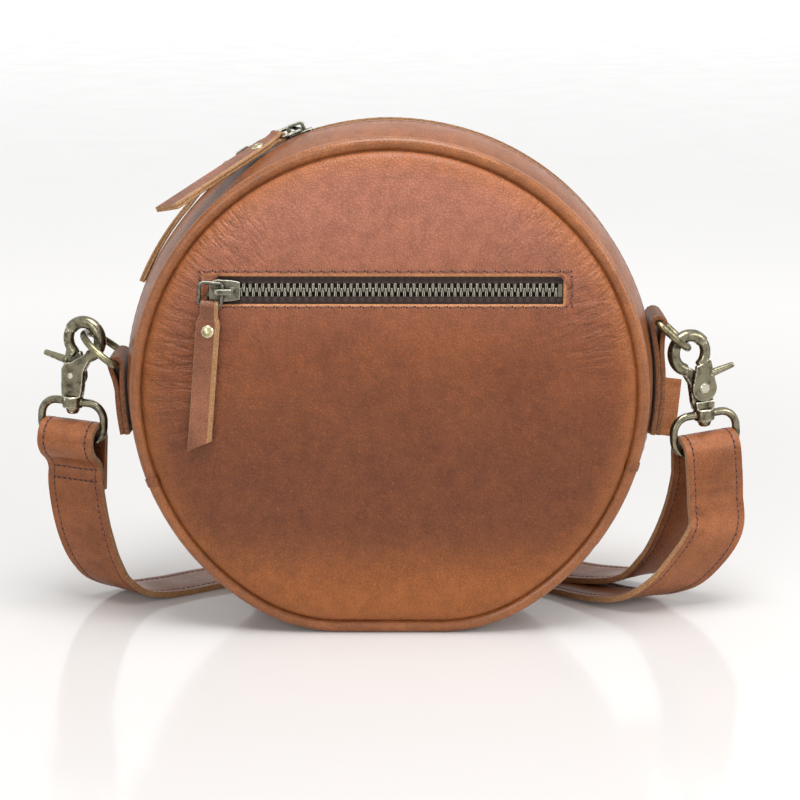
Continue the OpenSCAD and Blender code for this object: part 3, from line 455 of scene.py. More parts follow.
def smoothed(mesh: bpy.types.Mesh) -> None:
    """Shade every face of a mesh smoothly."""
    mesh.polygons.foreach_set("use_smooth", [True] * len(mesh.polygons))


def baked(made: bpy.types.Object) -> None:
    """Apply an object's modifiers to its mesh.

    Args:
        made: Object whose modifiers are applied.
    """
    graph = bpy.context.evaluated_depsgraph_get()
    mesh = bpy.data.meshes.new_from_object(made.evaluated_get(graph))
    made.modifiers.clear()
    made.data = mesh


def thicken(made: bpy.types.Object, thick: float, offset: float = -1.0, rim: int = 1) -> None:
    """Give a sheet its thickness.

    Args:
        made: Object whose mesh is the sheet.
        thick: Thickness in millimetres.
        offset: Side on which the thickness lies, from -1 to 1.
        rim: How many material slots further the rim's finish is.
    """
    solid = made.modifiers.new("thickness", "SOLIDIFY")
    solid.thickness = thick * MM
    solid.offset = offset
    solid.material_offset_rim = rim
    baked(made)


@dataclass
class Shape:
    """Mesh under construction: points in millimetres, faces with a finish, and point marks."""
    finishes: list[Finish]
    points: list[Vector] = field(default_factory=list)
    faces: list[tuple[int, ...]] = field(default_factory=list)
    kinds: list[int] = field(default_factory=list)
    marks: dict[str, dict[int, float]] = field(default_factory=dict)

    def add(self, points: Sequence[Vector]) -> int:
        """Add points and return the number of the first.

        Args:
            points: Places in metres.

        Returns:
            Number of the first point.
        """
        first = len(self.points)
        self.points.extend(points)
        return first

    def face(self, corners: Sequence[int], finish: Finish | None = None) -> None:
        """Add a face with its finish."""
        self.faces.append(tuple(corners))
        self.kinds.append(self.finishes.index(finish) if finish else 0)

    def mark(self, name: str, point: int, value: float) -> None:
        """Give a point a value that the materials read."""
        self.marks.setdefault(name, {})[point] = value

    def mark_all(self, name: str, value: float) -> None:
        """Give every point so far the same value."""
        self.marks[name] = dict.fromkeys(range(len(self.points)), value)

    def loft(self, rows: Sequence[Sequence[Vector]], kinds: Sequence[Finish] | None = None,
             ring: bool = False, closed: bool = True, caps: Finish | None = None) -> int:
        """Join rows of points, each running round a section.

        Args:
            rows: Rows with the same number of points.
            kinds: Finish of each side of the section.
            ring: Whether the last row joins the first.
            closed: Whether the section is a closed loop.
            caps: Finish of the two end faces, where there are any.

        Returns:
            The number of the first point.
        """
        wide = len(rows[0])
        first = self.add([p for row in rows for p in row])
        for r in range(len(rows) - (0 if ring else 1)):
            a, b = first + r * wide, first + (r + 1) % len(rows) * wide
            for k in range(wide - (0 if closed else 1)):
                n = (k + 1) % wide
                self.face((a + k, a + n, b + n, b + k), kinds[k] if kinds else None)
        if caps:
            self.face([first + k for k in range(wide)][::-1], caps)
            self.face([first + (len(rows) - 1) * wide + k for k in range(wide)], caps)
        return first

    def build(self, name: str, *nodes: str, body: str = "bag", slot: str | None = None,
              sharp: float = 50.0) -> bpy.types.Object:
        """Make the object, let it ride on its body and take the place of its solids.

        Args:
            name: Name of the piece.
            nodes: Solids that it stands for.
            body: Body that carries it.
            slot: Material slot of the record, for a piece without solids. Not used.
            sharp: Angle in degrees from which an edge stays sharp.

        Returns:
            The new object.
        """
        mesh = bpy.data.meshes.new(name)
        mesh.from_pydata([p * MM for p in self.points], [], self.faces)
        for finish in self.finishes:
            mesh.materials.append(paint(finish))
        mesh.polygons.foreach_set("material_index", self.kinds)
        smoothed(mesh)
        for key in ("stretch", "gather", "bare"):
            values = self.marks.get(key, {})
            layer = mesh.attributes.new(key, "FLOAT", "POINT")
            layer.data.foreach_set("value", [values.get(i, 0.0) for i in range(len(self.points))])
        mesh.validate()
        made = add_object(name, mesh)
        work = bmesh.new()
        work.from_mesh(mesh)
        bmesh.ops.recalc_face_normals(work, faces=work.faces)
        work.to_mesh(mesh)
        work.free()
        mesh.set_sharp_from_angle(angle=math.radians(sharp))
        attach(made, body)
        if nodes:
            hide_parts(*nodes)
        LOG.info("%s: %d faces", name, len(mesh.polygons))
        return made


def polar(radius: float, angle: float) -> Pair:
    """Return a plane place by its radius and its angle in degrees."""
    return radius * math.cos(math.radians(angle)), radius * math.sin(math.radians(angle))


def arc(centre: Pair, radius: float, start: float, end: float, steps: int) -> list[Pair]:
    """Points on an arc, angles in degrees."""
    spots = [polar(radius, start + (end - start) * i / steps) for i in range(steps + 1)]
    return [(centre[0] + x, centre[1] + y) for x, y in spots]


# Outline of the bag

@dataclass
class Outline:
    """Piped outline seen from the front: a flat, two corner arcs and a round arc."""
    round_r: float = 105.0
    corner_r: float = 67.5
    along: float = 0.5376
    down: float = 0.8432

    def __post_init__(self) -> None:
        """Work out the flat, the round's middle and the lengths of the stretches."""
        span = self.round_r - self.corner_r
        self.flat = span * self.along
        self.middle = self.corner_r + span * self.down
        self.corner_from = math.atan2(self.down, self.along)
        self.round_at = self.flat + self.corner_r * (math.pi / 2 - self.corner_from)
        self.half_len = self.round_at + self.round_r * (math.pi / 2 + self.corner_from)

    def at(self, length: float) -> tuple[float, float, float, float]:
        """Place on the outline, from the middle of the flat, right side first.

        Args:
            length: Length along the outline.

        Returns:
            X and Z of the place, and X and Z of the direction outwards.
        """
        length %= 2 * self.half_len
        side = 1.0
        if length > self.half_len:
            length, side = 2 * self.half_len - length, -1.0
        if length < self.flat:
            return side * length, 0.0, 0.0, -1.0
        if length < self.round_at:
            turn = -math.pi / 2 + (length - self.flat) / self.corner_r
            x, z, radius = self.flat, self.corner_r, self.corner_r
        else:
            turn = -self.corner_from + (length - self.round_at) / self.round_r
            x, z, radius = 0.0, self.middle, self.round_r
        nx, nz = math.cos(turn), math.sin(turn)
        return side * (x + radius * nx), z + radius * nz, side * nx, nz

    def off(self, length: float, out: float, depth: float) -> Vector:
        """Place at a distance out from the outline and a depth towards the front."""
        x, z, nx, nz = self.at(length)
        return Vector((x + nx * out, -depth, z + nz * out))

    def at_angle(self, angle: float) -> float:
        """Length along the outline of an angle round the round's middle, in degrees."""
        return self.round_at + (math.radians(angle) + self.corner_from) * self.round_r

    @staticmethod
    def stations(start: float, end: float, step: float) -> list[float]:
        """Lengths from start to end, about a step apart, both ends among them."""
        count = max(2, round((end - start) / step))
        return [start + (end - start) * i / count for i in range(count + 1)]

    def round_trip(self, step: float) -> list[float]:
        """Lengths about a step apart once round the outline."""
        return self.stations(0, 2 * self.half_len, step)[:-1]


OUTLINE = Outline()


@dataclass
class Seams:
    """Sizes of the seams between discs, piping and gusset, as in the solids."""
    seam_y: float = 31.5
    leather: float = 1.8
    piping_r: float = 2.75
    valley: float = 5.6
    rim: float = 15.0
    plateau: float = 38.0
    crown: float = 4.5

    @property
    def edge(self) -> float:
        """Depth at which the gusset's face meets the piping."""
        return self.seam_y - self.piping_r - 0.1

    def gusset_out(self, depth: float, under: float = 0.0) -> float:
        """How far the gusset stands out from the outline at a depth, or a layer under its face.

        Args:
            depth: Depth from front to back, in millimetres.
            under: Distance below the face.

        Returns:
            The distance in millimetres.
        """
        rise = self.crown + self.piping_r
        radius = (self.edge * self.edge + rise * rise) / (2 * rise)
        return self.crown - radius + math.sqrt((radius - under) ** 2 - min(abs(depth), self.edge) ** 2)


SEAMS = Seams()


# Stitching

@dataclass
class Stitching:
    """Run of lockstitches: short threads that dip into needle holes."""
    pitch: float = 4.3
    length: float = 3.0
    thread: float = 0.32
    slant: float = 0.1
    hole_r: float = 0.42
    hole_out: float = 0.12
    shape: Shape = field(default_factory=lambda: Shape([Finish.THREAD, Finish.HOLE_SHADOW]))

    def stitch(self, middle: Vector, ahead: Vector, up: Vector) -> None:
        """Add one stitch with its two needle holes, each a flat disc of painted shadow.

        Args:
            middle: Place of the stitch on the leather.
            ahead: Direction of the seam.
            up: Direction out of the leather.
        """
        side = up.cross(ahead).normalized()
        ahead = (ahead + side * self.slant).normalized()
        rows = []
        for share, wide, high in ((-1, 0.5, -0.25), (-0.8, 0.95, 0.1), (0, 1.0, 0.3), (0.8, 0.95, 0.1),
                                  (1, 0.5, -0.25)):
            spot = middle + ahead * (share * self.length / 2) + up * (high * self.thread)
            ring = [polar(self.thread * wide, 60 * k) for k in range(6)]
            rows.append([spot + side * a + up * (b * 0.8) for a, b in ring])
        self.shape.loft(rows, [Finish.THREAD] * 6, caps=Finish.THREAD)
        # Each needle hole is a flat disc of painted shadow lying just over the leather
        for share in (-1, 1):
            spot = middle + ahead * (share * (self.length / 2 + self.hole_out)) + up * 0.04
            ring = [polar(self.hole_r, 360 * k / 7) for k in range(7)]
            first = self.shape.add([spot] + [spot + ahead * a + side * b - up * 0.03 for a, b in ring])
            for k in range(7):
                self.shape.face((first, first + 1 + k, first + 1 + (k + 1) % 7), Finish.HOLE_SHADOW)

    def run(self, path: Sequence[Vector], ups: Sequence[Vector], offset: float = 0.5) -> None:
        """Sew along a path.

        Args:
            path: Places on the leather.
            ups: Directions out of the leather there.
            offset: Share of a pitch before the first stitch.
        """
        travelled, due = 0.0, self.pitch * offset
        for a, b, up in zip(path, path[1:], ups):
            span = (b - a).length
            while span > 0 and travelled + span >= due:
                spot = a.lerp(b, (due - travelled) / span)
                self.stitch(spot, (b - a).normalized(), up.normalized())
                due += self.pitch
            travelled += span


# Bag body

@dataclass
class Disc:
    """Crowned leather disc of the front or back, with its rim rolled into the piped seam."""
    word: str
    step: float = 2.6
    fullness: float = 2.5
    sag: float = 0.45
    sag_long: float = 42.0
    clear: float = 3.6
    window: tuple[float, float, float, float] = (-73.1, 138.2, 68.9, 149.2)

    def __post_init__(self) -> None:
        """Note the side and the places that gather in wrinkles: middle, reach and amount."""
        self.side = SIDES[self.word]
        self.front = self.side == 1
        self.gathers = [(-84, 116, 14, 28, 1.2), (-66, 166, 18, 13, 0.9), (84, 136, 13, 22, 1.1),
                        (60, 174, 24, 16, 0.6), (-52, 30, 34, 14, 0.35)] if self.front else \
            [(80, 110, 16, 28, 0.8), (-60, 168, 24, 14, 0.6), (10, 25, 40, 12, 0.4)]

    def shoulder(self, d: float) -> float:
        """Depth of the rim at a distance in from the seam.

        Args:
            d: Distance in from the seam, in millimetres.

        Returns:
            The depth in millimetres.
        """
        low = SEAMS.seam_y + 0.6
        share = 1 - (1 - min(max(d, 0.0), SEAMS.rim) / SEAMS.rim) ** self.fullness
        return low + (SEAMS.plateau - low) * share ** (1 / self.fullness)

    def gather(self, x: float, z: float) -> float:
        """Share of wrinkles at a place, from 0 to 1."""
        return min(1.0, sum(amount * math.exp(-((x - cx) / wx) ** 2 - ((z - cz) / wz) ** 2)
                            for cx, cz, wx, wz, amount in self.gathers))

    def lift(self, spot: Vector, d: float) -> Vector:
        """Move a place of the disc by the stuffed disc's unevenness, less near the seam.

        Args:
            spot: Place on the even disc.
            d: Distance in from the seam, in millimetres.

        Returns:
            The moved place.
        """
        seed = 3.0 if self.front else 9.0
        bulge = noise.noise(Vector((spot.x, spot.z, 0)) / self.sag_long + Vector((0, 0, seed)))
        dent = -self.sag * (0.5 + 0.5 * bulge) * min(1.0, d / 6)
        return Vector((spot.x, spot.y - self.side * dent, spot.z))

    def loop(self, grow: float) -> list[Pair]:
        """Window's outline with rounded corners, grown by some millimetres.

        Args:
            grow: Distance outside the window, in millimetres.

        Returns:
            Points round the loop.
        """
        x0, z0, x1, z1 = self.window
        r = 0.8
        rough = []
        for centre, start in (((x1 - r, z1 - r), 0), ((x0 + r, z1 - r), 90), ((x0 + r, z0 + r), 180),
                              ((x1 - r, z0 + r), 270)):
            rough.extend(arc(centre, r + grow, start, start + 90, 4))
        points: list[Pair] = []
        for a, b in zip(rough, rough[1:] + rough[:1]):
            count = max(1, round(math.dist(a, b) / 2.2))
            points.extend((a[0] + (b[0] - a[0]) * i / count, a[1] + (b[1] - a[1]) * i / count)
                          for i in range(count))
        return points

    def build(self) -> None:
        """Build the disc: rolled rim, then the plateau inside it."""
        shape = Shape([Finish.PANEL, Finish.EDGE])
        places = OUTLINE.round_trip(self.step)
        ins = [0.0, 0.12, 0.35, 0.8, 1.5, 2.5, 3.8, 5.3, 7.0, 9.0, 11.2, 13.2, SEAMS.rim]
        rows = [[OUTLINE.off(s, -SEAMS.valley - 0.9, self.side * (SEAMS.seam_y + 0.5)) for s in places]]
        for d in ins:
            depth = self.side * self.shoulder(d)
            rows.append([self.lift(OUTLINE.off(s, -SEAMS.valley - d, depth), d) for s in places])
        shape.loft(rows, [Finish.PANEL] * len(places))
        wide = len(places)
        for i, spot in enumerate(shape.points):
            shape.mark("stretch", i, 0.75 * math.exp(-(([0.0] + ins)[i // wide] / 6.5) ** 2))
            shape.mark("gather", i, self.gather(spot.x, spot.z))
        last = len(ins) * wide
        self.fill(shape, list(range(last, last + wide)))
        thicken(shape.build(self.word + "_disc", self.word + "_panel"), SEAMS.leather)

    def fill(self, shape: Shape, ring: list[int]) -> None:
        """Fill the plateau inside the rim with small triangles, round the window on the front.

        Args:
            shape: Shape with the rim.
            ring: Numbers of the rim's last row.
        """
        # Each spot of the plane goes with how deep it sinks and how bare its leather is
        spots = [Vector((shape.points[i].x, shape.points[i].z)) for i in ring]
        extras = [(0.0, 0.0)] * len(spots)
        edges = [(i, (i + 1) % len(ring)) for i in range(len(ring))]
        for grow, sink, worn in ((0.0, 0.5, 1.0), (0.3, 0.12, 1.0), (0.9, 0.0, 0.9), (1.5, 0.0, 0.15),
                                 (2.4, 0.0, 0.0)) if self.front else ():
            loop = self.loop(grow)
            edges.extend((len(spots) + i, len(spots) + (i + 1) % len(loop)) for i in range(len(loop)))
            spots.extend(Vector(p) for p in loop)
            extras.extend([(sink, worn)] * len(loop))
        x0, z0, x1, z1 = self.window
        row, z, clear = 0, 15.0, self.clear
        while z < 200:
            x = -95.0 + (self.step / 2 if row % 2 else 0)
            while x < 95:
                near_window = self.front and x0 - clear < x < x1 + clear and z0 - clear < z < z1 + clear
                if self.inside(x, z) and not near_window:
                    spots.append(Vector((x, z)))
                x += self.step
            z += self.step * 0.87
            row += 1
        found, _, faces, origins = geometry.delaunay_2d_cdt(spots, edges, [], 1, 0.0001)[:4]
        numbers: list[int] = []
        for i, spot in enumerate(found):
            origin = origins[i][0] if origins[i] else -1
            if 0 <= origin < len(ring):
                numbers.append(ring[origin])
                continue
            sink, worn = extras[origin] if 0 <= origin < len(extras) else (0.0, 0.0)
            place = Vector((spot.x, -self.side * (SEAMS.plateau - sink), spot.y))
            numbers.append(shape.add([self.lift(place, SEAMS.rim)]))
            shape.mark("gather", numbers[-1], self.gather(spot.x, spot.y))
            shape.mark("bare", numbers[-1], worn)
        for corners in faces:
            cx, cz = sum((found[i] for i in corners), Vector((0, 0))) / len(corners)
            if not (self.front and x0 < cx < x1 and z0 < cz < z1):
                shape.face([numbers[i] for i in corners], Finish.PANEL)

    def inside(self, x: float, z: float) -> bool:
        """Whether a place lies well inside the rim.

        Args:
            x: Place across.
            z: Height.

        Returns:
            True where it does.
        """
        inset = SEAMS.valley + SEAMS.rim + self.step * 0.6
        if z < inset:
            return False
        if abs(x) < OUTLINE.flat and z < OUTLINE.corner_r:
            return True
        if math.atan2(z - OUTLINE.middle, abs(x)) < -OUTLINE.corner_from:
            return math.hypot(abs(x) - OUTLINE.flat, z - OUTLINE.corner_r) < OUTLINE.corner_r - inset
        return math.hypot(x, z - OUTLINE.middle) < OUTLINE.round_r - inset


@dataclass
class Piping:
    """Leather-covered cord round a disc, with a joint nick, and bands at the gusset's joints."""
    wrap_thick: float = 0.4
    wrap_long: float = 3.6
    flange: float = 0.48
    flange_in: float = 12.5
    wrap_angles: Pair = (200.0, -16.0)
    nick_angles: Pair = (-37.0, 88.0)
    nick_deep: float = 0.4
    nick_wide: float = 0.7

    def spot(self, s: float, side: int, radius: float, angle: float) -> Vector:
        """Place at a radius and an angle round the cord's middle."""
        u, h = polar(radius, angle)
        return OUTLINE.off(s, -SEAMS.piping_r + u, side * (SEAMS.seam_y + h))

    def build(self) -> None:
        """Build both cords and the bands."""
        for word in SIDES:
            self.cord(word)
        self.wraps()

    def cord(self, word: str) -> None:
        """Build the piping of the front or back disc.

        Args:
            word: Either front or back.
        """
        side = SIDES[word]
        shape = Shape([Finish.PIPING])
        nicks = [OUTLINE.at_angle(a) for a in self.nick_angles]
        rows = []
        for s in OUTLINE.round_trip(1.7):
            close = min(abs(s - n) for n in nicks)
            swell = 0.1 * noise.noise(Vector((s / 9, side * 4.0, 0))) \
                + 0.05 * noise.noise(Vector((s / 2, 0, side)))
            nick = self.nick_deep * math.exp(-(close / self.nick_wide) ** 2) if side > 0 else 0
            radius = SEAMS.piping_r + swell - 0.05 - nick
            rows.append([self.spot(s, side, radius, a) for a in range(-160, 161, 16)]
                        + [OUTLINE.off(s, -self.flange_in, side * (SEAMS.seam_y + h))
                           for h in (self.flange, -self.flange)])
        shape.loft(rows, ring=True)
        shape.mark_all("stretch", 0.35)
        shape.build(word + "_piping_cord", word + "_piping")

    def wraps(self) -> None:
        """Build the four bands."""
        shape = Shape([Finish.PIPING, Finish.EDGE])
        shares = {-1.0: 0.5, -0.92: 0.95, -0.6: 1, 0.0: 1, 0.6: 1, 0.92: 0.95, 1.0: 0.5}
        for angle in self.wrap_angles:
            for side in SIDES.values():
                rows = []
                for t, share in shares.items():
                    s, radius = OUTLINE.at_angle(angle) + t * self.wrap_long / 2, self.wrap_thick * share
                    rows.append([self.spot(s, side, SEAMS.piping_r + radius, a) for a in range(-85, 166, 12)])
                shape.loft(rows, closed=False)
        thicken(shape.build("piping_joint_bands", "piping_wraps"), 0.35)


@dataclass
class Gusset:
    """Side strip of the bag: the base piece and the two pieces beside the top zip."""
    joint_angle: float = 17.0
    zip_half: float = 5.5
    stitch_in: float = 2.4
    groove: float = 0.28
    uneven: float = 0.35

    def lump(self, s: float, h: float) -> float:
        """Slow unevenness of the strip."""
        return self.uneven * noise.noise(Vector((s / 30, h / 22, 5.0)))

    def build(self) -> None:
        """Build all three pieces and the topstitching."""
        self.base()
        stitching = Stitching()
        for word in SIDES:
            self.zip_piece(word, stitching)
        stitching.shape.build("zip_strip_topstitching", slot="dark_leather")

    def base(self) -> None:
        """Build the base piece, pressed flat where the bag stands."""
        edge = SEAMS.edge
        shape = Shape([Finish.GUSSET, Finish.EDGE])
        reach = OUTLINE.at_angle(-self.joint_angle)
        outer = OUTLINE.stations(edge, -edge, -2 * edge / 26)
        inner = OUTLINE.stations(-edge + 2, edge - 2, (edge - 2) / 6)
        rows = []
        for s in OUTLINE.stations(-reach, reach, 3.0):
            row = [OUTLINE.off(s, SEAMS.gusset_out(h) + self.lump(s, h) * (1 - (h / edge) ** 4), h)
                   for h in outer]
            row += [OUTLINE.off(s, SEAMS.gusset_out(h, SEAMS.leather) - 0.2, h) for h in inner]
            for i, spot in enumerate(row):
                spot.z = max(spot.z, 0.0 if i < len(outer) else SEAMS.leather)
            rows.append(row)
        shape.loft(rows, [Finish.GUSSET] * len(rows[0]), caps=Finish.EDGE)
        shape.mark_all("stretch", 0.3)
        shape.build("base_gusset_leather", "base_gusset")

    def zip_piece(self, word: str, stitching: Stitching) -> None:
        """Build one strip beside the top zip, with its turned edge and topstitching.

        Args:
            word: Front or back.
            stitching: Seam to add to.
        """
        side, edge, thin = SIDES[word], SEAMS.edge, SEAMS.leather
        shape = Shape([Finish.GUSSET, Finish.EDGE])
        start, end = OUTLINE.at_angle(-self.joint_angle), OUTLINE.at_angle(180 + self.joint_angle)
        depths = [edge, 27.2, 25, 22, 19, 16, 13, 11, 9.4, 8.6, 8.2, 7.9, 7.6, 7.2, 6.7, 6.1, 5.7]
        seam_h = self.zip_half + self.stitch_in
        lip = SEAMS.gusset_out(self.zip_half)
        rows = []
        for s in OUTLINE.stations(start, end, 2.6):
            row = []
            for h in depths:
                groove = self.groove * math.exp(-((h - seam_h) / 0.45) ** 2)
                free = min(1.0, (edge - h) / 6)
                row.append((SEAMS.gusset_out(h) - groove + self.lump(s, side * h) * free, h))
            row += [(lip - 0.15, self.zip_half + 0.05), (lip - 0.45, self.zip_half),
                    (lip - thin + 0.2, self.zip_half)]
            row += [(SEAMS.gusset_out(h, thin), h) for h in (7, 12, 18, 24, edge - 2)]
            rows.append([OUTLINE.off(s, u, side * h) for u, h in row])
        kinds = [Finish.GUSSET] * len(rows[0])
        kinds[len(depths)] = kinds[len(depths) + 1] = Finish.EDGE
        shape.loft(rows, kinds, caps=Finish.EDGE)
        for i in range(len(shape.points)):
            shape.mark("stretch", i, 0.2 + (0.4 if i % len(kinds) in (0, 1, 16) else 0))
        shape.build("zip_strip_" + word, "zip_gusset_" + word)
        places = OUTLINE.stations(start + 3, end - 3, 1.5)
        path = [OUTLINE.off(s, SEAMS.gusset_out(seam_h) - 0.2 + self.lump(s, side * seam_h), side * seam_h)
                for s in places]
        stitching.run(path, [Vector((OUTLINE.at(s)[2], -side * 0.1, OUTLINE.at(s)[3])) for s in places])


# Zips

@dataclass
class ZipFrames:
    """Frames along the two zips, x along the teeth and z out of the leather."""
    tape_mid_r: float = 107.38
    pocket_mid: float = 35.9
    pocket_z: float = 143.7
    pocket_middle_x: float = -2.1
    pocket_slider_x: float = -65.3

    def top(self, angle: float) -> Matrix:
        """Frame on the top zip at an angle round from the right side, x towards the left.

        Args:
            angle: Angle in degrees.

        Returns:
            The frame, as a matrix.
        """
        c, s = polar(1, angle)
        return Matrix(((-s, 0, c, self.tape_mid_r * c), (0, -1, 0, 0),
                       (c, 0, s, OUTLINE.middle + self.tape_mid_r * s), (0, 0, 0, 1)))

    def pocket(self, x: float) -> Matrix:
        """Frame on the pocket zip, x towards the right and y up."""
        return Matrix(((1, 0, 0, x), (0, 0, -1, -self.pocket_mid), (0, 1, 0, self.pocket_z), (0, 0, 0, 1)))


ZIPS = ZipFrames()


def turned(angle: float, axis: str) -> Matrix:
    """Rotation by degrees about an axis."""
    return Matrix.Rotation(math.radians(angle), 4, axis)


@dataclass
class Teeth:
    """Stamped metal teeth: a block on the tape's edge with a rounded head past the middle."""
    pitch: float = 2.5
    chain_half: float = 2.6
    head: float = 0.75
    groove: float = 0.5
    chain_from: float = 8.0
    pocket_chain: float = 142.0

    def tooth(self) -> tuple[list[Vector], list[tuple[int, ...]]]:
        """Return the points and faces of one tooth: eased edges and a pressed groove along its top.

        Returns:
            The points, and the point numbers of each face.
        """
        half = self.pitch * 0.22
        right = [(half * 0.62, -self.head), (half * 0.86, -0.35), (half * 0.66, 0.0), (half * 0.66, 0.35),
                 (half, 0.95), (half, self.chain_half)]
        ring = [(-x, y) for x, y in right[::-1]] + right
        points = [Vector((x * (1 - inset * 1.2), y - math.copysign(inset, y), z))
                  for z, inset in ((-1.2, 0.18), (-0.98, 0.0), (0.98, 0.0), (1.2, 0.18)) for x, y in ring]
        n = len(ring)
        faces = [tuple(range(n))[::-1]]
        # The groove: lip, floor, lip between each point of the top's left edge and its partner on the right
        top, across = 3 * n, []
        for k in range(n // 2):
            a, b, new = points[top + k], points[top + n - 1 - k], len(points)
            across.append((top + k, new, new + 1, new + 2, top + n - 1 - k))
            points += [a.lerp(b, 0.3), a.lerp(b, 0.5) - Vector((0, 0, self.groove)), a.lerp(b, 0.7)]
        for a, b in zip(across, across[1:]):
            faces += [(a[j], a[j + 1], b[j + 1], b[j]) for j in range(4)]
        faces += [across[0][::-1], across[-1]]
        for r in range(3):
            faces += [(r * n + k, r * n + (k + 1) % n, (r + 1) * n + (k + 1) % n, (r + 1) * n + k)
                      for k in range(n)]
        return points, faces

    def build(self) -> None:
        """Build the rows of both zips: each row's first tooth lies a share of a pitch along."""
        points, faces = self.tooth()
        mirror = Matrix.Diagonal((1, -1, 1, 1))
        step = math.degrees(self.pitch / ZIPS.tape_mid_r)
        top_count = math.floor((180 - 2 * self.chain_from) / step)
        count = math.floor((self.pocket_chain - self.pitch) / self.pitch)
        start = ZIPS.pocket_middle_x
        for name, node, frames in (
                ("top_teeth_front", "main_teeth_front",
                 [ZIPS.top(self.chain_from + i * step) for i in range(top_count)]),
                ("top_teeth_back", "main_teeth_back",
                 [ZIPS.top(self.chain_from + (i + 0.5) * step) @ mirror for i in range(top_count)]),
                ("pocket_teeth_above", "pocket_teeth_upper",
                 [ZIPS.pocket(start + (i + 0.25 - count / 2) * self.pitch) for i in range(count)]),
                ("pocket_teeth_below", "pocket_teeth_lower",
                 [ZIPS.pocket(start + (i + 0.75 - count / 2) * self.pitch) @ mirror for i in range(count)])):
            shape = Shape([Finish.TEETH])
            for frame in frames:
                first = shape.add([frame @ p for p in points])
                for face in faces:
                    shape.face([first + i for i in face])
            shape.build(name, node, sharp=35)


@dataclass
class Tapes:
    """Woven zip tapes, with a cord along the edge that holds the teeth."""
    chain_half: float = 2.6
    half: float = 0.3
    wide: float = 14.0
    pocket_wide: float = 8.6

    def section(self, wide: float) -> list[Pair]:
        """Section across a tape: distance from the middle and height, with a corded edge.

        Args:
            wide: Width of the tape in millimetres.

        Returns:
            Points of the section.
        """
        inner, half = self.chain_half, self.half
        top = [(inner, 0.1), (inner + 0.15, 0.5), (inner + 0.7, 0.62), (inner + 1.3, 0.34),
               (inner + 1.8, 0.28)]
        top += [(h, 0.28 + 0.03 * (-1) ** i) for i, h in enumerate((5.2, 6.2, 7.2, wide - 0.3))]
        return top + [(wide, 0.0), (wide - 0.3, -half), (inner + 0.2, -half), (inner, -0.1)]

    def build(self) -> None:
        """Build the four tapes."""
        places = OUTLINE.stations(OUTLINE.at_angle(-8), OUTLINE.at_angle(188), 3)
        for word, side in SIDES.items():
            rows = [[OUTLINE.off(s, SEAMS.gusset_out(h, SEAMS.leather + 0.32) + t * 0.97 - 0.02, side * h)
                     for h, t in self.section(self.wide)] for s in places]
            self.sew(rows, "top_tape_" + word, "main_tape_" + word)
        for above, level, side in (("above", "upper", 1), ("below", "lower", -1)):
            rows = [[Vector((x, -(ZIPS.pocket_mid + t), ZIPS.pocket_z + side * h))
                     for h, t in self.section(self.pocket_wide)] for x in (-75.5, -40, 0, 35, 71.3)]
            self.sew(rows, "pocket_tape_" + above, "pocket_tape_" + level)

    @staticmethod
    def sew(rows: list[list[Vector]], name: str, node: str) -> None:
        """Make one tape from the rows along it.

        Args:
            rows: Points of each row.
            name: Name of the piece.
            node: Node that it stands for.
        """
        shape = Shape([Finish.TAPE])
        shape.loft(rows, caps=Finish.TAPE)
        shape.build(name, node)


# Pulls

@dataclass
class Pull:
    """Leather pull: one strip folded round the bail and riveted, its end cut on a slant."""
    name: str
    node: str
    place: Place
    slant: float = 5.0
    long: float = 60.0
    wide: float = 9.3
    neck: float = 7.0
    thick: float = 1.1
    loop_r: float = 1.42

    def build(self) -> None:
        """Build the folded strip: from its slanted end round the bail and back."""
        shape = Shape([Finish.PULL, Finish.EDGE, Finish.FLESH])
        shares = [1.0, 0.985, 0.93, 0.86, 0.78, 0.7, 0.62, 0.54, 0.46, 0.38, 0.3, 0.24, 0.18, 0.14, 0.12,
                  0.09, 0.065]
        spots = [(share * self.long, 0.58, 1) for share in shares]
        spots += [(*polar(self.loop_r, turn), 0) for turn in range(40, 321, 28)]
        spots += [(share * self.long, -0.58, 1) for share in shares[::-1]]
        half_ring = [(-1, -0.55), (-0.965, -0.95), (-0.6, -1), (0, -1), (0.6, -1), (0.965, -0.95), (1, -0.55),
                     (1.01, 0)]
        ring = half_ring + [(-a, -b) for a, b in half_ring]
        rows = []
        for i, (x, z, flat) in enumerate(spots):
            before, after = spots[max(i - 1, 0)], spots[min(i + 1, len(spots) - 1)]
            run = Vector((after[0] - before[0], after[1] - before[1])).normalized()
            up = Vector((run.y, -run.x)) * (-self.thick / 2)
            opened = min(1.0, max(0.0, (x - 4) / 3))
            wide = self.neck / 2 + (self.wide - self.neck) / 2 * opened * opened * (3 - 2 * opened)
            shift = self.slant / 2 * max(0.0, (x / self.long - 0.1) / 0.9) * flat
            rows.append([self.place(x - shift * (a + 1) + up.x * b, a * wide, z + up.y * b) for a, b in ring])
        grain, edge, flesh = Finish.PULL, Finish.EDGE, Finish.FLESH
        kinds = [edge] + [grain] * 3 + [edge] * 6 + [flesh] * 3 + [edge] * 3
        shape.loft(rows, kinds, caps=edge)
        shape.build(self.name, self.node, body=self.node)


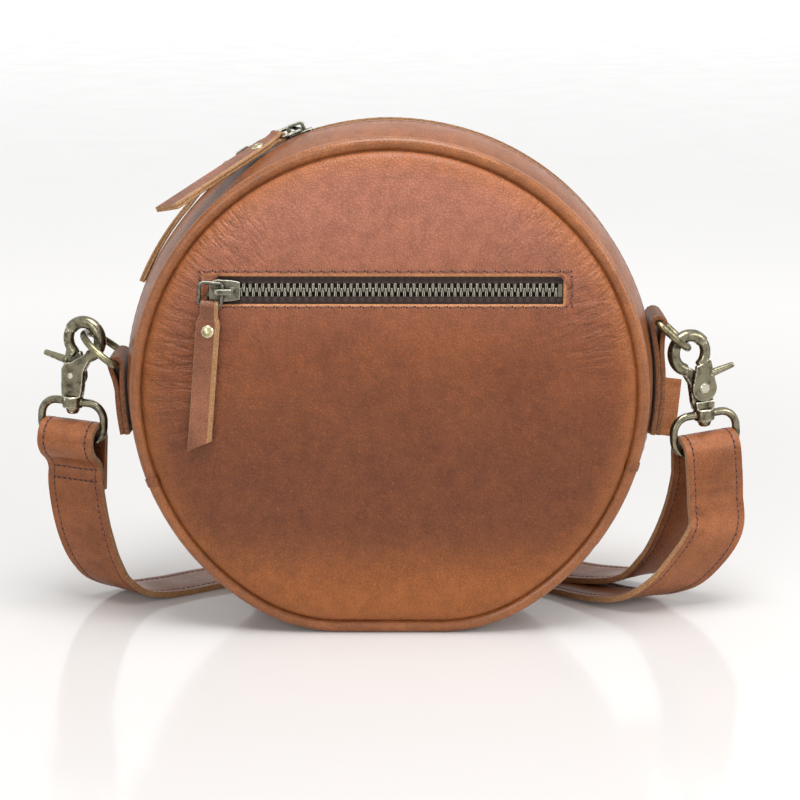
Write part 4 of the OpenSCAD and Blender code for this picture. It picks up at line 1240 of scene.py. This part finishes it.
def make_pulls() -> None:
    """Build the three pulls on their bails."""
    # Height of a bail's axis over the leather, and the bail's length and half width
    over, bail_long, bail_half = 2.05, 9, 4.55
    hang = ZIPS.pocket(ZIPS.pocket_slider_x) \
        @ Matrix.Translation((-0.9, 0, SEAMS.plateau + over - ZIPS.pocket_mid)) @ turned(-95, "Z") \
        @ Matrix.Translation((bail_long - 3, -bail_half, 0))
    Pull("pocket_pull_leather", "pocket_pull", lambda x, y, z: hang @ Vector((x, y, z))).build()
    bail_h = SEAMS.crown + OUTLINE.round_r + over - ZIPS.tape_mid_r
    reach = ZIPS.top(110) @ Matrix.Translation((0, 0, bail_h + 0.4)) @ turned(33, "Z") @ turned(-13, "X") \
        @ Matrix.Translation((bail_long, 0, 0)) @ turned(10, "Y")
    Pull("right_top_pull_leather", "top_pull_right", lambda x, y, z: reach @ Vector((x, y, z))).build()
    bar_r = math.hypot(ZIPS.tape_mid_r + bail_h, bail_long)
    start = math.radians(122) + math.atan(bail_long / (ZIPS.tape_mid_r + bail_h))

    def bent(x: float, y: float, z: float) -> Vector:
        """Place on the pull that lies along the gusset.

        Args:
            x: Place along the pull.
            y: Place across it.
            z: Height in its thickness.

        Returns:
            The place in the scene.
        """
        sag = min(1.0, max(0.0, (x - 8) / 16))
        u, v = polar(bar_r + z - 1.15 * sag * sag * (3 - 2 * sag), math.degrees(start + x / bar_r))
        return Vector((u, -y, OUTLINE.middle + v))

    Pull("left_top_pull_leather", "top_pull_left", bent, 0.0).build()


# Straps and tabs

@dataclass
class Band:
    """Flat leather strip along a path, with cut edges and stitch grooves."""
    places: list[Vector]
    across: list[Vector]
    wide: float
    thick: float
    groove_in: float = 3.0
    groove: float = 0.22
    back: Finish = Finish.STRAP
    edge: Finish = Finish.EDGE

    def __post_init__(self) -> None:
        """Work out the directions ahead, out of the leather and sideways along the path."""
        self.last = len(self.places) - 1
        self.ahead = [(self.places[min(i + 1, self.last)] - self.places[max(i - 1, 0)]).normalized()
                      for i in range(self.last + 1)]
        self.up = [a.cross(b).normalized() for a, b in zip(self.ahead, self.across)]
        self.side = [a.cross(b) for a, b in zip(self.up, self.ahead)]

    def section(self) -> tuple[list[Pair], list[Finish]]:
        """Return the section's points and the finish of each side.

        Returns:
            Points, and one finish for each side.
        """
        w, t = self.wide / 2, self.thick / 2
        line = w - self.groove_in
        half = [(w, 0.72 * t), (w - 0.12, 0.96 * t), (w - 0.5, t), (line + 0.7, t), (line, t - self.groove),
                (line - 0.9, t), (line / 2, t * 1.04)]
        top = [(-a, b) for a, b in half] + [(0, t * 1.05)] + half[::-1]
        ring = top + [(w + 0.02, 0.0)]
        kinds = [self.edge] + [Finish.STRAP] * 12 + [self.edge] * 4 + [self.back] * 12 + [self.edge] * 3
        return ring + [(-a, -b) for a, b in ring], kinds

    def build(self, name: str, node: str, tail: int = 0) -> None:
        """Build the strip.

        Args:
            name: Name of the piece.
            node: Solid that it stands for.
            tail: How many last places have paler leather.
        """
        shape = Shape([f for f in Finish if f in (Finish.STRAP, self.back, self.edge)])
        section, kinds = self.section()
        shape.loft([[spot + side * a + up * b for a, b in section]
                    for spot, side, up in zip(self.places, self.side, self.up)], kinds, caps=self.edge)
        for i in range(len(shape.points)):
            r = i // len(section)
            bend = (self.ahead[max(r - 1, 0)] - self.ahead[min(r + 1, self.last)]).length
            # The lighter stretched colour on the bends is partly stretched leather and partly a painted
            # highlight on the fold tops
            shape.mark("stretch", i, min(0.85, bend * 2.2))
            shape.mark("bare", i, 0.45 * min(1.0, max(0.0, (r - self.last + tail + 6) / 8)))
        shape.build(name, node)

    def sew(self, stitch: Stitching, tail: int, rows: Sequence[int]) -> None:
        """Sew both edges on both faces, and rows across the outer face.

        Args:
            stitch: Seam to add to.
            tail: How many last places have no seam.
            rows: Numbers of the places with a row across.
        """
        seam = self.wide / 2 - self.groove_in
        lift = self.thick / 2 - self.groove + 0.05
        for sign, edge in ((1, -1), (1, 1), (-1, -1), (-1, 1)):
            path = [self.places[i] + self.side[i] * (edge * seam) + self.up[i] * (sign * lift)
                    for i in range(self.last + 1 - tail)]
            stitch.run(path, [u * sign for u in self.up])
        for at in rows:
            start = self.places[at] + self.up[at] * (self.thick / 2 * 1.04 + 0.02)
            stitch.run([start + self.side[at] * (seam * (k / 10 - 1)) for k in range(21)], [self.up[at]] * 21)


@dataclass
class RingTab:
    """Leather tab up the gusset, round the ring's bar and back down on itself."""
    word: str
    bar_angle: float
    sign: int
    thick: float = 2.0
    wide: float = 24.8
    low_end: float = -10.5
    return_end: float = -10.3
    return_gap: float = 0.1
    ring_r: float = 1.8

    def build(self) -> None:
        """Build the tab: up the gusset, round the ring's bar, back down to its stitched end."""
        under_r = OUTLINE.round_r + SEAMS.crown + 0.1
        low_r = under_r + self.thick / 2
        top_r = low_r + self.thick + self.return_gap
        link = self.bar_angle - math.degrees(8 / (top_r - 1))
        flat = arc((0, 0), low_r, self.low_end, self.bar_angle - 1.4, 14)
        flat += arc(polar(under_r + self.thick + self.ring_r, self.bar_angle), 2.8, self.bar_angle + 165,
                    self.bar_angle, 12)
        flat += arc((0, 0), top_r, link, self.return_end, 9)
        places = [Vector((self.sign * x, 0, OUTLINE.middle + z)) for x, z in even(flat, 1.3)]
        across = [Vector((0, -self.sign, 0))] * len(places)
        band = Band(places, across, self.wide, self.thick, 2.6, 0.2, Finish.FLESH, Finish.TAB_EDGE)
        band.build(self.word + "_tab_leather", self.word + "_ring_tab")


def even(points: Sequence[Pair], step: float) -> list[Pair]:
    """Respace a plane path evenly, after one rounding of its corners.

    Args:
        points: Path of the plane curve.
        step: Distance between two new points.

    Returns:
        The new path.
    """
    soft = [Vector(points[0])]
    soft += [(Vector(a) + 2 * Vector(b) + Vector(c)) / 4 for a, b, c in zip(points, points[1:], points[2:])]
    soft.append(Vector(points[-1]))
    result, carried = [soft[0]], 0.0
    for a, b in zip(soft, soft[1:]):
        span = (b - a).length
        reach = step - carried
        while reach <= span:
            result.append(a.lerp(b, reach / span))
            reach += step
        carried = (carried + span) % step if span else carried
    return [(p.x, p.y) for p in result + [soft[-1]]]


@dataclass
class StrapRoute:
    """Route of the shoulder strap, from the same shares of the bag's width as the solid's.

    Each row of a run holds a place in shares and a direction across. No height means flat on the table.
    """
    bag_w: float = 210.0
    wide: float = 25.4
    thick: float = 2.6
    hang: float = 2.4
    eye: tuple[float, float, float] = (5, 0, 27)
    ring_bar_r: float = 113.4
    # Lean and yaw of each clip, then angle of its ring's bar and tilt of the ring, in degrees
    left_clip: Pair = (2.5, -20)
    right_clip: Pair = (-5, 200)
    left_ring: Pair = (4.6, 37.5)
    right_ring: Pair = (13.5, -41.5)
    ring_depth: float = 17.99
    floor_lift: float = 0.22
    front_run: ClassVar[Run] = (
        (-0.627, 0.016, 0.19, 0.94, -0.34, 0), (-0.616, 0.018, 0.14, 0.93, -0.36, 0),
        (-0.6, 0.026, 0.092, 0.9, -0.44, 0), (-0.575, 0.045, 0.048, 0.83, -0.55, 0.02),
        (-0.53, 0.08, 0.016, 0.72, -0.69, 0.02), (-0.46, 0.125, None, 0.6, -0.8, 0),
        (-0.38, 0.18, None, 0.5, -0.87, 0), (-0.28, 0.225, None, 0.3, -0.95, 0),
        (-0.16, 0.252, None, 0.12, -0.99, 0), (-0.03, 0.26, None, 0, -1, 0),
        (0.1, 0.252, None, -0.12, -0.99, 0),
        (0.21, 0.228, None, -0.3, -0.95, 0), (0.3, 0.19, None, -0.55, -0.83, 0),
        (0.375, 0.135, None, -0.75, -0.66, 0), (0.45, 0.06, 0.012, -0.85, -0.52, 0.02),
        (0.512, 0.015, 0.026, -0.88, -0.47, 0), (0.57, -0.012, 0.062, -0.91, -0.41, 0),
        (0.62, -0.02, 0.115, -0.93, -0.36, 0), (0.653, -0.022, 0.175, -0.94, -0.34, 0))
    rear_run: ClassVar[Run] = (
        (0.614, 0.06, 0.2, -0.94, -0.34, 0), (0.592, 0.07, 0.135, -0.93, -0.36, 0),
        (0.558, 0.087, 0.08, -0.88, -0.47, 0), (0.507, 0.115, 0.038, -0.8, -0.6, 0),
        (0.42, 0.17, None, -0.65, -0.76, 0), (0.34, 0.215, None, -0.5, -0.87, 0),
        (0.25, 0.245, None, -0.3, -0.95, 0), (0.14, 0.258, None, -0.1, -0.99, 0),
        (0.02, 0.262, None, 0, -1, 0),
        (-0.1, 0.258, None, 0, -1, 0), (-0.22, 0.256, 0.045, 0, -1, 0), (-0.3, 0.252, 0.12, 0, -1, 0),
        (-0.3, 0.248, 0.22, 0, -1, -0.1), (-0.22, 0.244, 0.31, 0.1, -0.9, -0.35),
        (-0.08, 0.237, 0.37, 0.1, -0.7, -0.7), (0.1, 0.222, 0.395, 0, -0.45, -0.9),
        (0.3, 0.212, 0.395, 0, -0.3, -0.95), (0.48, 0.207, 0.385, -0.02, -0.25, -0.97),
        (0.6, 0.205, 0.372, -0.05, -0.22, -0.97))

    def far_bend(self, bar_angle: float, tilt: float) -> Vector:
        """Middle of a ring's far bend on the right side."""
        (a, b), (c, d) = polar(self.ring_bar_r, bar_angle), polar(self.ring_depth, tilt)
        return Vector((a + c, 0, OUTLINE.middle + b + d))

    def folds(self) -> tuple[list[Pair], list[Pair]]:
        """Return the two folds round the clips' eyes: distance out and height in the clip's frame.

        Returns:
            The fold at the left clip and the one at the right.
        """
        r, t = 5.1 + self.thick / 2, self.thick
        turn = [(u, v - 15.5) for u, v in (polar(r, a) for a in range(0, 181, 30))]
        left = [(r, -38), (r, -29), (r, -21)] + turn + [
            (-r * 0.95, -18.5), (-r * 0.6, -22), (0, -25), (r - t * 1.6, -27.5), (r - t - 0.3, -31),
            (r - t - 0.3, -37)]
        right = [(r * 0.9, -36), (r, -29), (r * 1.02, -21)] + turn + [(-r * 1.1, -21), (-r * 1.35, -28)]
        return left, right

    def route(self) -> tuple[list[Vector], list[Vector]]:
        """Return the places and the directions across the strap.

        Returns:
            Places along the strap, and the direction across at each.
        """
        left_turn, right_turn = (turned(lean, "Y") @ turned(yaw, "Z")
                                 for lean, yaw in (self.left_clip, self.right_clip))
        far = self.far_bend(*self.left_ring)
        left = Vector((-far.x, 0, far.z - self.hang)) - left_turn @ Vector(self.eye)
        right = self.far_bend(*self.right_ring) + Vector((self.hang * 0.35, 0, -self.hang)) \
            - right_turn @ Vector(self.eye)
        floor_z = self.thick / 2 + self.floor_lift
        places: list[Vector] = []
        across: list[Vector] = []
        for start, turn, fold, run, flat_z in zip(
                (left, right), (left_turn, right_turn), self.folds(), (self.front_run, self.rear_run),
                (floor_z, floor_z + self.thick + self.floor_lift)):
            places += [start + turn @ Vector((0, y, z)) for y, z in fold]
            across += [turn @ Vector((1, 0, 0))] * len(fold)
            for x, y, z, *direction in run:
                places.append(Vector((x, y, flat_z / self.bag_w if z is None else z)) * self.bag_w)
                across.append(Vector(direction))
        return self.smooth(places), self.smooth(across)

    @staticmethod
    def smooth(rows: Sequence[Vector], steps: int = 6) -> list[Vector]:
        """Smooth curve through rows, with a few steps between each two.

        Args:
            rows: Places that the curve meets.
            steps: Number of steps between two rows.

        Returns:
            Places along the curve.
        """
        result = []
        for i in range(len(rows) - 1):
            a, b, c, d = rows[max(i - 1, 0)], rows[i], rows[i + 1], rows[min(i + 2, len(rows) - 1)]
            for s in (j / steps for j in range(steps)):
                result.append((b * 2 + (c - a) * s + (a * 2 - b * 5 + c * 4 - d) * s * s
                               + (b * 3 - a - c * 3 + d) * s ** 3) / 2)
        return result + [rows[-1]]

    def build(self) -> None:
        """Build the strap with its seams."""
        places, across = self.route()
        strap = Band(places, across, self.wide, self.thick)
        strap.build("strap_leather_band", "shoulder_strap", 14)
        # The left fold is closed by two rows across, at these heights over the table
        rows = [min(range(60, 120), key=lambda i: abs(places[i].z - high)) for high in (61.6, 55.4)]
        seam = Stitching(2.55, 1.75, 0.32)
        strap.sew(seam, 14, rows)
        seam.shape.build("strap_stitching", slot="strap_leather")


# Linings

@dataclass
class Lining:
    """Loose cotton lining: two discs, a band between them and the pocket's pouch."""
    thick: float = 0.4
    disc_size: Pair = (191.6, 190.0)
    disc_depth: float = 28.9
    band_wide: float = 56.0
    band_out: float = -7.35
    pouch_box: tuple[float, float, float, float] = (-74.0, 43.8, 69.8, 157.6)
    pouch_r: float = 84.2
    pouch_depths: Pair = (35.35, 30.0)
    mouth: Pair = (137.4, 150.0)
    ripple: float = 0.15

    def sew(self, shape: Shape, name: str, node: str, cut: Pair, offset: float, held: str,
            rests_on: list[str]) -> None:
        """Args:
            shape: The sheet's middle face.
            name: Name of the piece.
            node: Solid that it stands for.
            cut: Width and length of the cut. A length of 0 stands for the area over the width. Not used.
            offset: Side on which the thickness lies, from -1 to 1.
            held: How the sheet is held. Not used.
            rests_on: Solids that it lies against. Not used.
        """
        made = shape.build(name, node)
        thicken(made, self.thick, offset, 0)

    def disc(self, word: str) -> None:
        """Build the front or back lining disc.

        Args:
            word: Either front or back.
        """
        side = SIDES[word]
        shape = Shape([Finish.LINING])
        places = OUTLINE.round_trip(6)
        insets = (9.2, 10, 16, 26, 40, 56, 66)
        shape.loft([[OUTLINE.off(s, -d, side * (self.disc_depth + self.ripple * math.sin(s / 17 + d / 9)))
                     for s in places] for d in insets])
        last = (len(insets) - 1) * len(places)
        centre = shape.add([Vector((0, -side * self.disc_depth, OUTLINE.middle - 14))])
        for k in range(len(places)):
            shape.face((last + k, last + (k + 1) % len(places), centre))
        self.sew(shape, word + "_lining_cloth", word + "_lining", self.disc_size, 0.0, "stretched",
                 [word + "_panel"])

    def band(self) -> None:
        """Build the band: one width under the base piece, and two strips beside the top zip."""
        shape = Shape([Finish.LINING])
        whole = 2 * OUTLINE.half_len
        start, end = OUTLINE.at_angle(-8), OUTLINE.at_angle(188) - whole
        half = (7.6, 13, 18, 23, 28)
        for first, last, side, depths in ((end, start, 1, (-28, -22, -15, -8, 0, 8, 15, 22, 28)),
                                          (start, whole + end, 1, half), (start, whole + end, -1, half)):
            shape.loft([[OUTLINE.off(s, self.band_out + self.ripple * math.sin(s / 11 + h / 6), side * h)
                         for h in depths] for s in OUTLINE.stations(first, last, 5)], closed=False)
        self.sew(shape, "gusset_lining_cloth", "gusset_lining", (self.band_wide, 0.0), 0.0, "stretched",
                 ["base_gusset", "zip_gusset_front", "zip_gusset_back"])

    def pouch_loop(self) -> list[Pair]:
        """Edge of the pouch: a box, kept inside the round of the disc's flat part.

        Returns:
            Points round the edge.
        """
        x0, z0, x1, z1 = self.pouch_box
        loop = []
        for dx, dz in (polar(1, 3.75 * i) for i in range(96)):
            high = z1 - OUTLINE.middle if dz > 0 else OUTLINE.middle - z0
            wide = x1 if dx > 0 else -x0
            reach = min(wide / max(abs(dx), 0.001), high / max(abs(dz), 0.001), self.pouch_r)
            loop.append((dx * reach, OUTLINE.middle + dz * reach))
        return loop

    def pouch(self) -> None:
        """Build the pocket's pouch, open towards its zip."""
        shape = Shape([Finish.LINING])
        loop = self.pouch_loop()
        wide = len(loop)
        shape.loft([[Vector((x, -depth, z)) for x, z in loop] for depth in self.pouch_depths])
        shape.face([wide + k for k in range(wide)])
        for z, edge in ((self.mouth[1], [k for k in range(wide) if loop[k][1] > self.mouth[1]]),
                        (self.mouth[0], [k for k in range(wide) if loop[k][1] < self.mouth[0]])):
            cut = next(i for i, k in enumerate(edge) if edge[i - 1] != (k - 1) % wide)
            edge = edge[cut:] + edge[:cut]
            ends = shape.add([Vector((loop[k][0], -self.pouch_depths[0], z)) for k in (edge[-1], edge[0])])
            shape.face(edge + [ends, ends + 1])
        self.sew(shape, "pocket_pouch_cloth", "pocket_pouch", (143.8, 0.0), -1.0, "hung", ["front_panel"])

    def build(self) -> None:
        """Build all the lining."""
        for word in SIDES:
            self.disc(word)
        self.band()
        self.pouch()


# Cast and wire hardware

@dataclass
class Casting:
    """Cast metal part: the solid's form with its corners rounded by tumbling."""
    body: str
    finish: Finish
    voxel: float = 0.26
    smooth: int = 12
    regain: float = 0.33

    def build(self, source: bpy.types.Object) -> None:
        """Remesh a copy of the solid, ease its edges and let it stand for the solid.

        Args:
            source: Node whose solid is copied.
        """
        mesh = source.data.copy()
        mesh.transform(source.matrix_world)
        made = add_object(source.name + "_cast", mesh)
        remesh = made.modifiers.new("skin", "REMESH")
        remesh.mode = "VOXEL"
        remesh.voxel_size = self.voxel * MM
        ease = made.modifiers.new("tumbled", "SMOOTH")
        ease.iterations = self.smooth
        ease.factor = 0.5
        # Smoothing thins the wire, so the skin goes back out by as much
        swell = made.modifiers.new("regained", "DISPLACE")
        swell.strength = self.regain * MM
        swell.mid_level = 0.0
        baked(made)
        made.data.materials.clear()
        made.data.materials.append(paint(self.finish))
        smoothed(made.data)
        made.data.update()
        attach(made, self.body)
        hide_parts(source.name)
        LOG.info("%s: %d faces", made.name, len(made.data.polygons))


def make_hardware(nodes: dict[str, bpy.types.Object]) -> None:
    """Round the castings and give the plain turned and bent solids their metal.

    Args:
        nodes: Solids of the model by name.
    """
    for side in ("left", "right"):
        Casting(side + "_hook", Finish.CLIP).build(nodes[side + "_hook"])
        Casting(side + "_trigger", Finish.CLIP, 0.2, 28, 0.34).build(nodes[side + "_trigger"])
        Casting("bag", Finish.CLIP, 0.28, 6, 0.22).build(nodes[side + "_eye"])
    for node in ("pocket_slider", "top_slider_right", "top_slider_left"):
        Casting(node, Finish.SLIDER, 0.16, 4, 0.1).build(nodes[node])
    kept = {Finish.RING: ["left_ring", "right_ring"],
            Finish.BAIL: ["pocket_bail", "top_bail_right", "top_bail_left"],
            Finish.STOP: ["main_zip_stops", "pocket_zip_stops"],
            Finish.RIVET: ["pocket_pull_rivet", "top_pull_rivet_right", "top_pull_rivet_left", "strap_stud"],
            Finish.CLIP: ["left_trigger_pin", "right_trigger_pin"]}
    for finish, names in kept.items():
        for made in (nodes[name] for name in names):
            if not made.data.materials:
                made.data.materials.append(None)
            for slot in made.material_slots:
                slot.link = "OBJECT"
                slot.material = paint(finish)


def sew_pocket(disc: Disc) -> None:
    """Sew the box of stitches round the pocket's window.

    Args:
        disc: Front disc, which has the window.
    """
    stitch = Stitching()
    corners = [(-75.1, 137.0), (72.3, 137.0), (72.3, 151.3), (-75.1, 151.3), (-75.1, 137.0)]
    for a, b in zip(corners, corners[1:]):
        count = round(math.dist(a, b))
        path = [disc.lift(Vector((a[0] + (b[0] - a[0]) * i / count, -SEAMS.plateau,
                                  a[1] + (b[1] - a[1]) * i / count)), SEAMS.rim) for i in range(count + 1)]
        stitch.run(path, [Vector((0, -1, 0))] * len(path), 0.45)
    stitch.shape.build("pocket_box_stitching", slot="body_leather")


# Room

@dataclass
class Room:
    """Plain white sweep, soft lights and the photograph's camera. Lengths are in metres here."""
    aim: tuple[float, float, float] = (0, 0, 0.1)
    camera_at: tuple[float, float, float] = (0.00764, -0.88, 0.2842)
    ambient: float = 0.4
    camera_down: float = 0.2161
    camera_roll: float = 0.00405

    def floor(self) -> None:
        """Lay a glossy white floor that shows the object's shadow and a faint reflection."""
        mesh = bpy.data.meshes.new("floor")
        mesh.from_pydata([(-6, -3, 0), (6, -3, 0), (6, 9, 0), (-6, 9, 0)], [], [(0, 1, 2, 3)])
        made = add_object("floor", mesh)
        material = bpy.data.materials.new("glossy_white_acrylic_floor")
        material.use_nodes = True
        g = Graph(material.node_tree)
        seen = g.add("LightPath", out="Is Camera Ray")
        # The sweep fades to plain white a quarter of a metre out
        away = g.add("VectorMath", {"operation": "LENGTH"}, {0: g.where}, "Value")
        fade = g.add("MapRange", SMOOTH, span(away, 0.22, 0.88, (0.03, 0.24)))
        g.close({"Base Color": "#dcdad8", "Roughness": g.patches(90, 2, 0.5, 0.3, 0.7, (0.1, 0.14)),
                 "Specular IOR Level": 0.2, "Emission Color": (1, 1, 1, 1),
                 "Emission Strength": g.add("Math", TIMES, {0: seen, 1: fade})})
        mesh.materials.append(material)

    def light(self, name: str, place: tuple[float, float, float], power: float, size: float) -> None:
        """Hang a soft square lamp aimed at the bag.

        Args:
            name: Name of the lamp.
            place: Its place.
            power: Its power in watts.
            size: Its side.
        """
        lamp = bpy.data.lights.new(name, "AREA")
        lamp.energy = power
        lamp.size = size
        made = add_object(name, lamp)
        made.location = place
        made.rotation_euler = (Vector(self.aim) - Vector(place)).to_track_quat("-Z", "Y").to_euler()

    def build(self) -> None:
        """Set the world, lights, floor and camera."""
        scene = bpy.context.scene
        scene.view_settings.view_transform = "Standard"
        scene.world = bpy.data.worlds.new("white_room")
        scene.world.use_nodes = True
        g = Graph(scene.world.node_tree)
        seen = g.add("Math", {"operation": "MAXIMUM"}, {0: g.add("LightPath", out="Is Camera Ray"),
                                                        1: g.add("LightPath", out="Is Glossy Ray")})
        strength = g.add("MapRange", SMOOTH, span(seen, 0.0, 1.0, (self.ambient, 1.0)))
        sky = g.add("Background", inputs={"Color": (1, 1, 1, 1), "Strength": strength})
        g.add("OutputWorld", inputs={"Surface": sky})
        self.floor()
        self.light("top_softbox", (0.1, -0.3, 1.3), 16, 0.8)
        self.light("front_softbox", (-0.8, -1.6, 0.8), 8.5, 0.9)
        self.light("right_softbox", (1.3, -0.6, 0.6), 7, 0.6)
        camera = bpy.data.cameras.new("photo_camera")
        camera.lens = 96.85
        camera.sensor_width = 36
        camera.clip_end = 50
        made = add_object("photo_camera", camera)
        made.location = self.camera_at
        made.rotation_euler = (math.pi / 2 - self.camera_down, 0, self.camera_roll)
        scene.camera = made


def main() -> None:
    """Dress the whole bag."""
    logging.basicConfig(level=logging.INFO, format="%(message)s", stream=sys.stdout)
    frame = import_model()
    Room().build()
    front = Disc("front")
    front.build()
    Disc("back").build()
    Piping().build()
    Gusset().build()
    Teeth().build()
    Tapes().build()
    sew_pocket(front)
    make_pulls()
    RingTab("left", 4.6, -1).build()
    RingTab("right", 13.5, 1).build()
    StrapRoute().build()
    Lining().build()
    make_hardware(frame["nodes"])


if __name__ == "__main__":
    main()
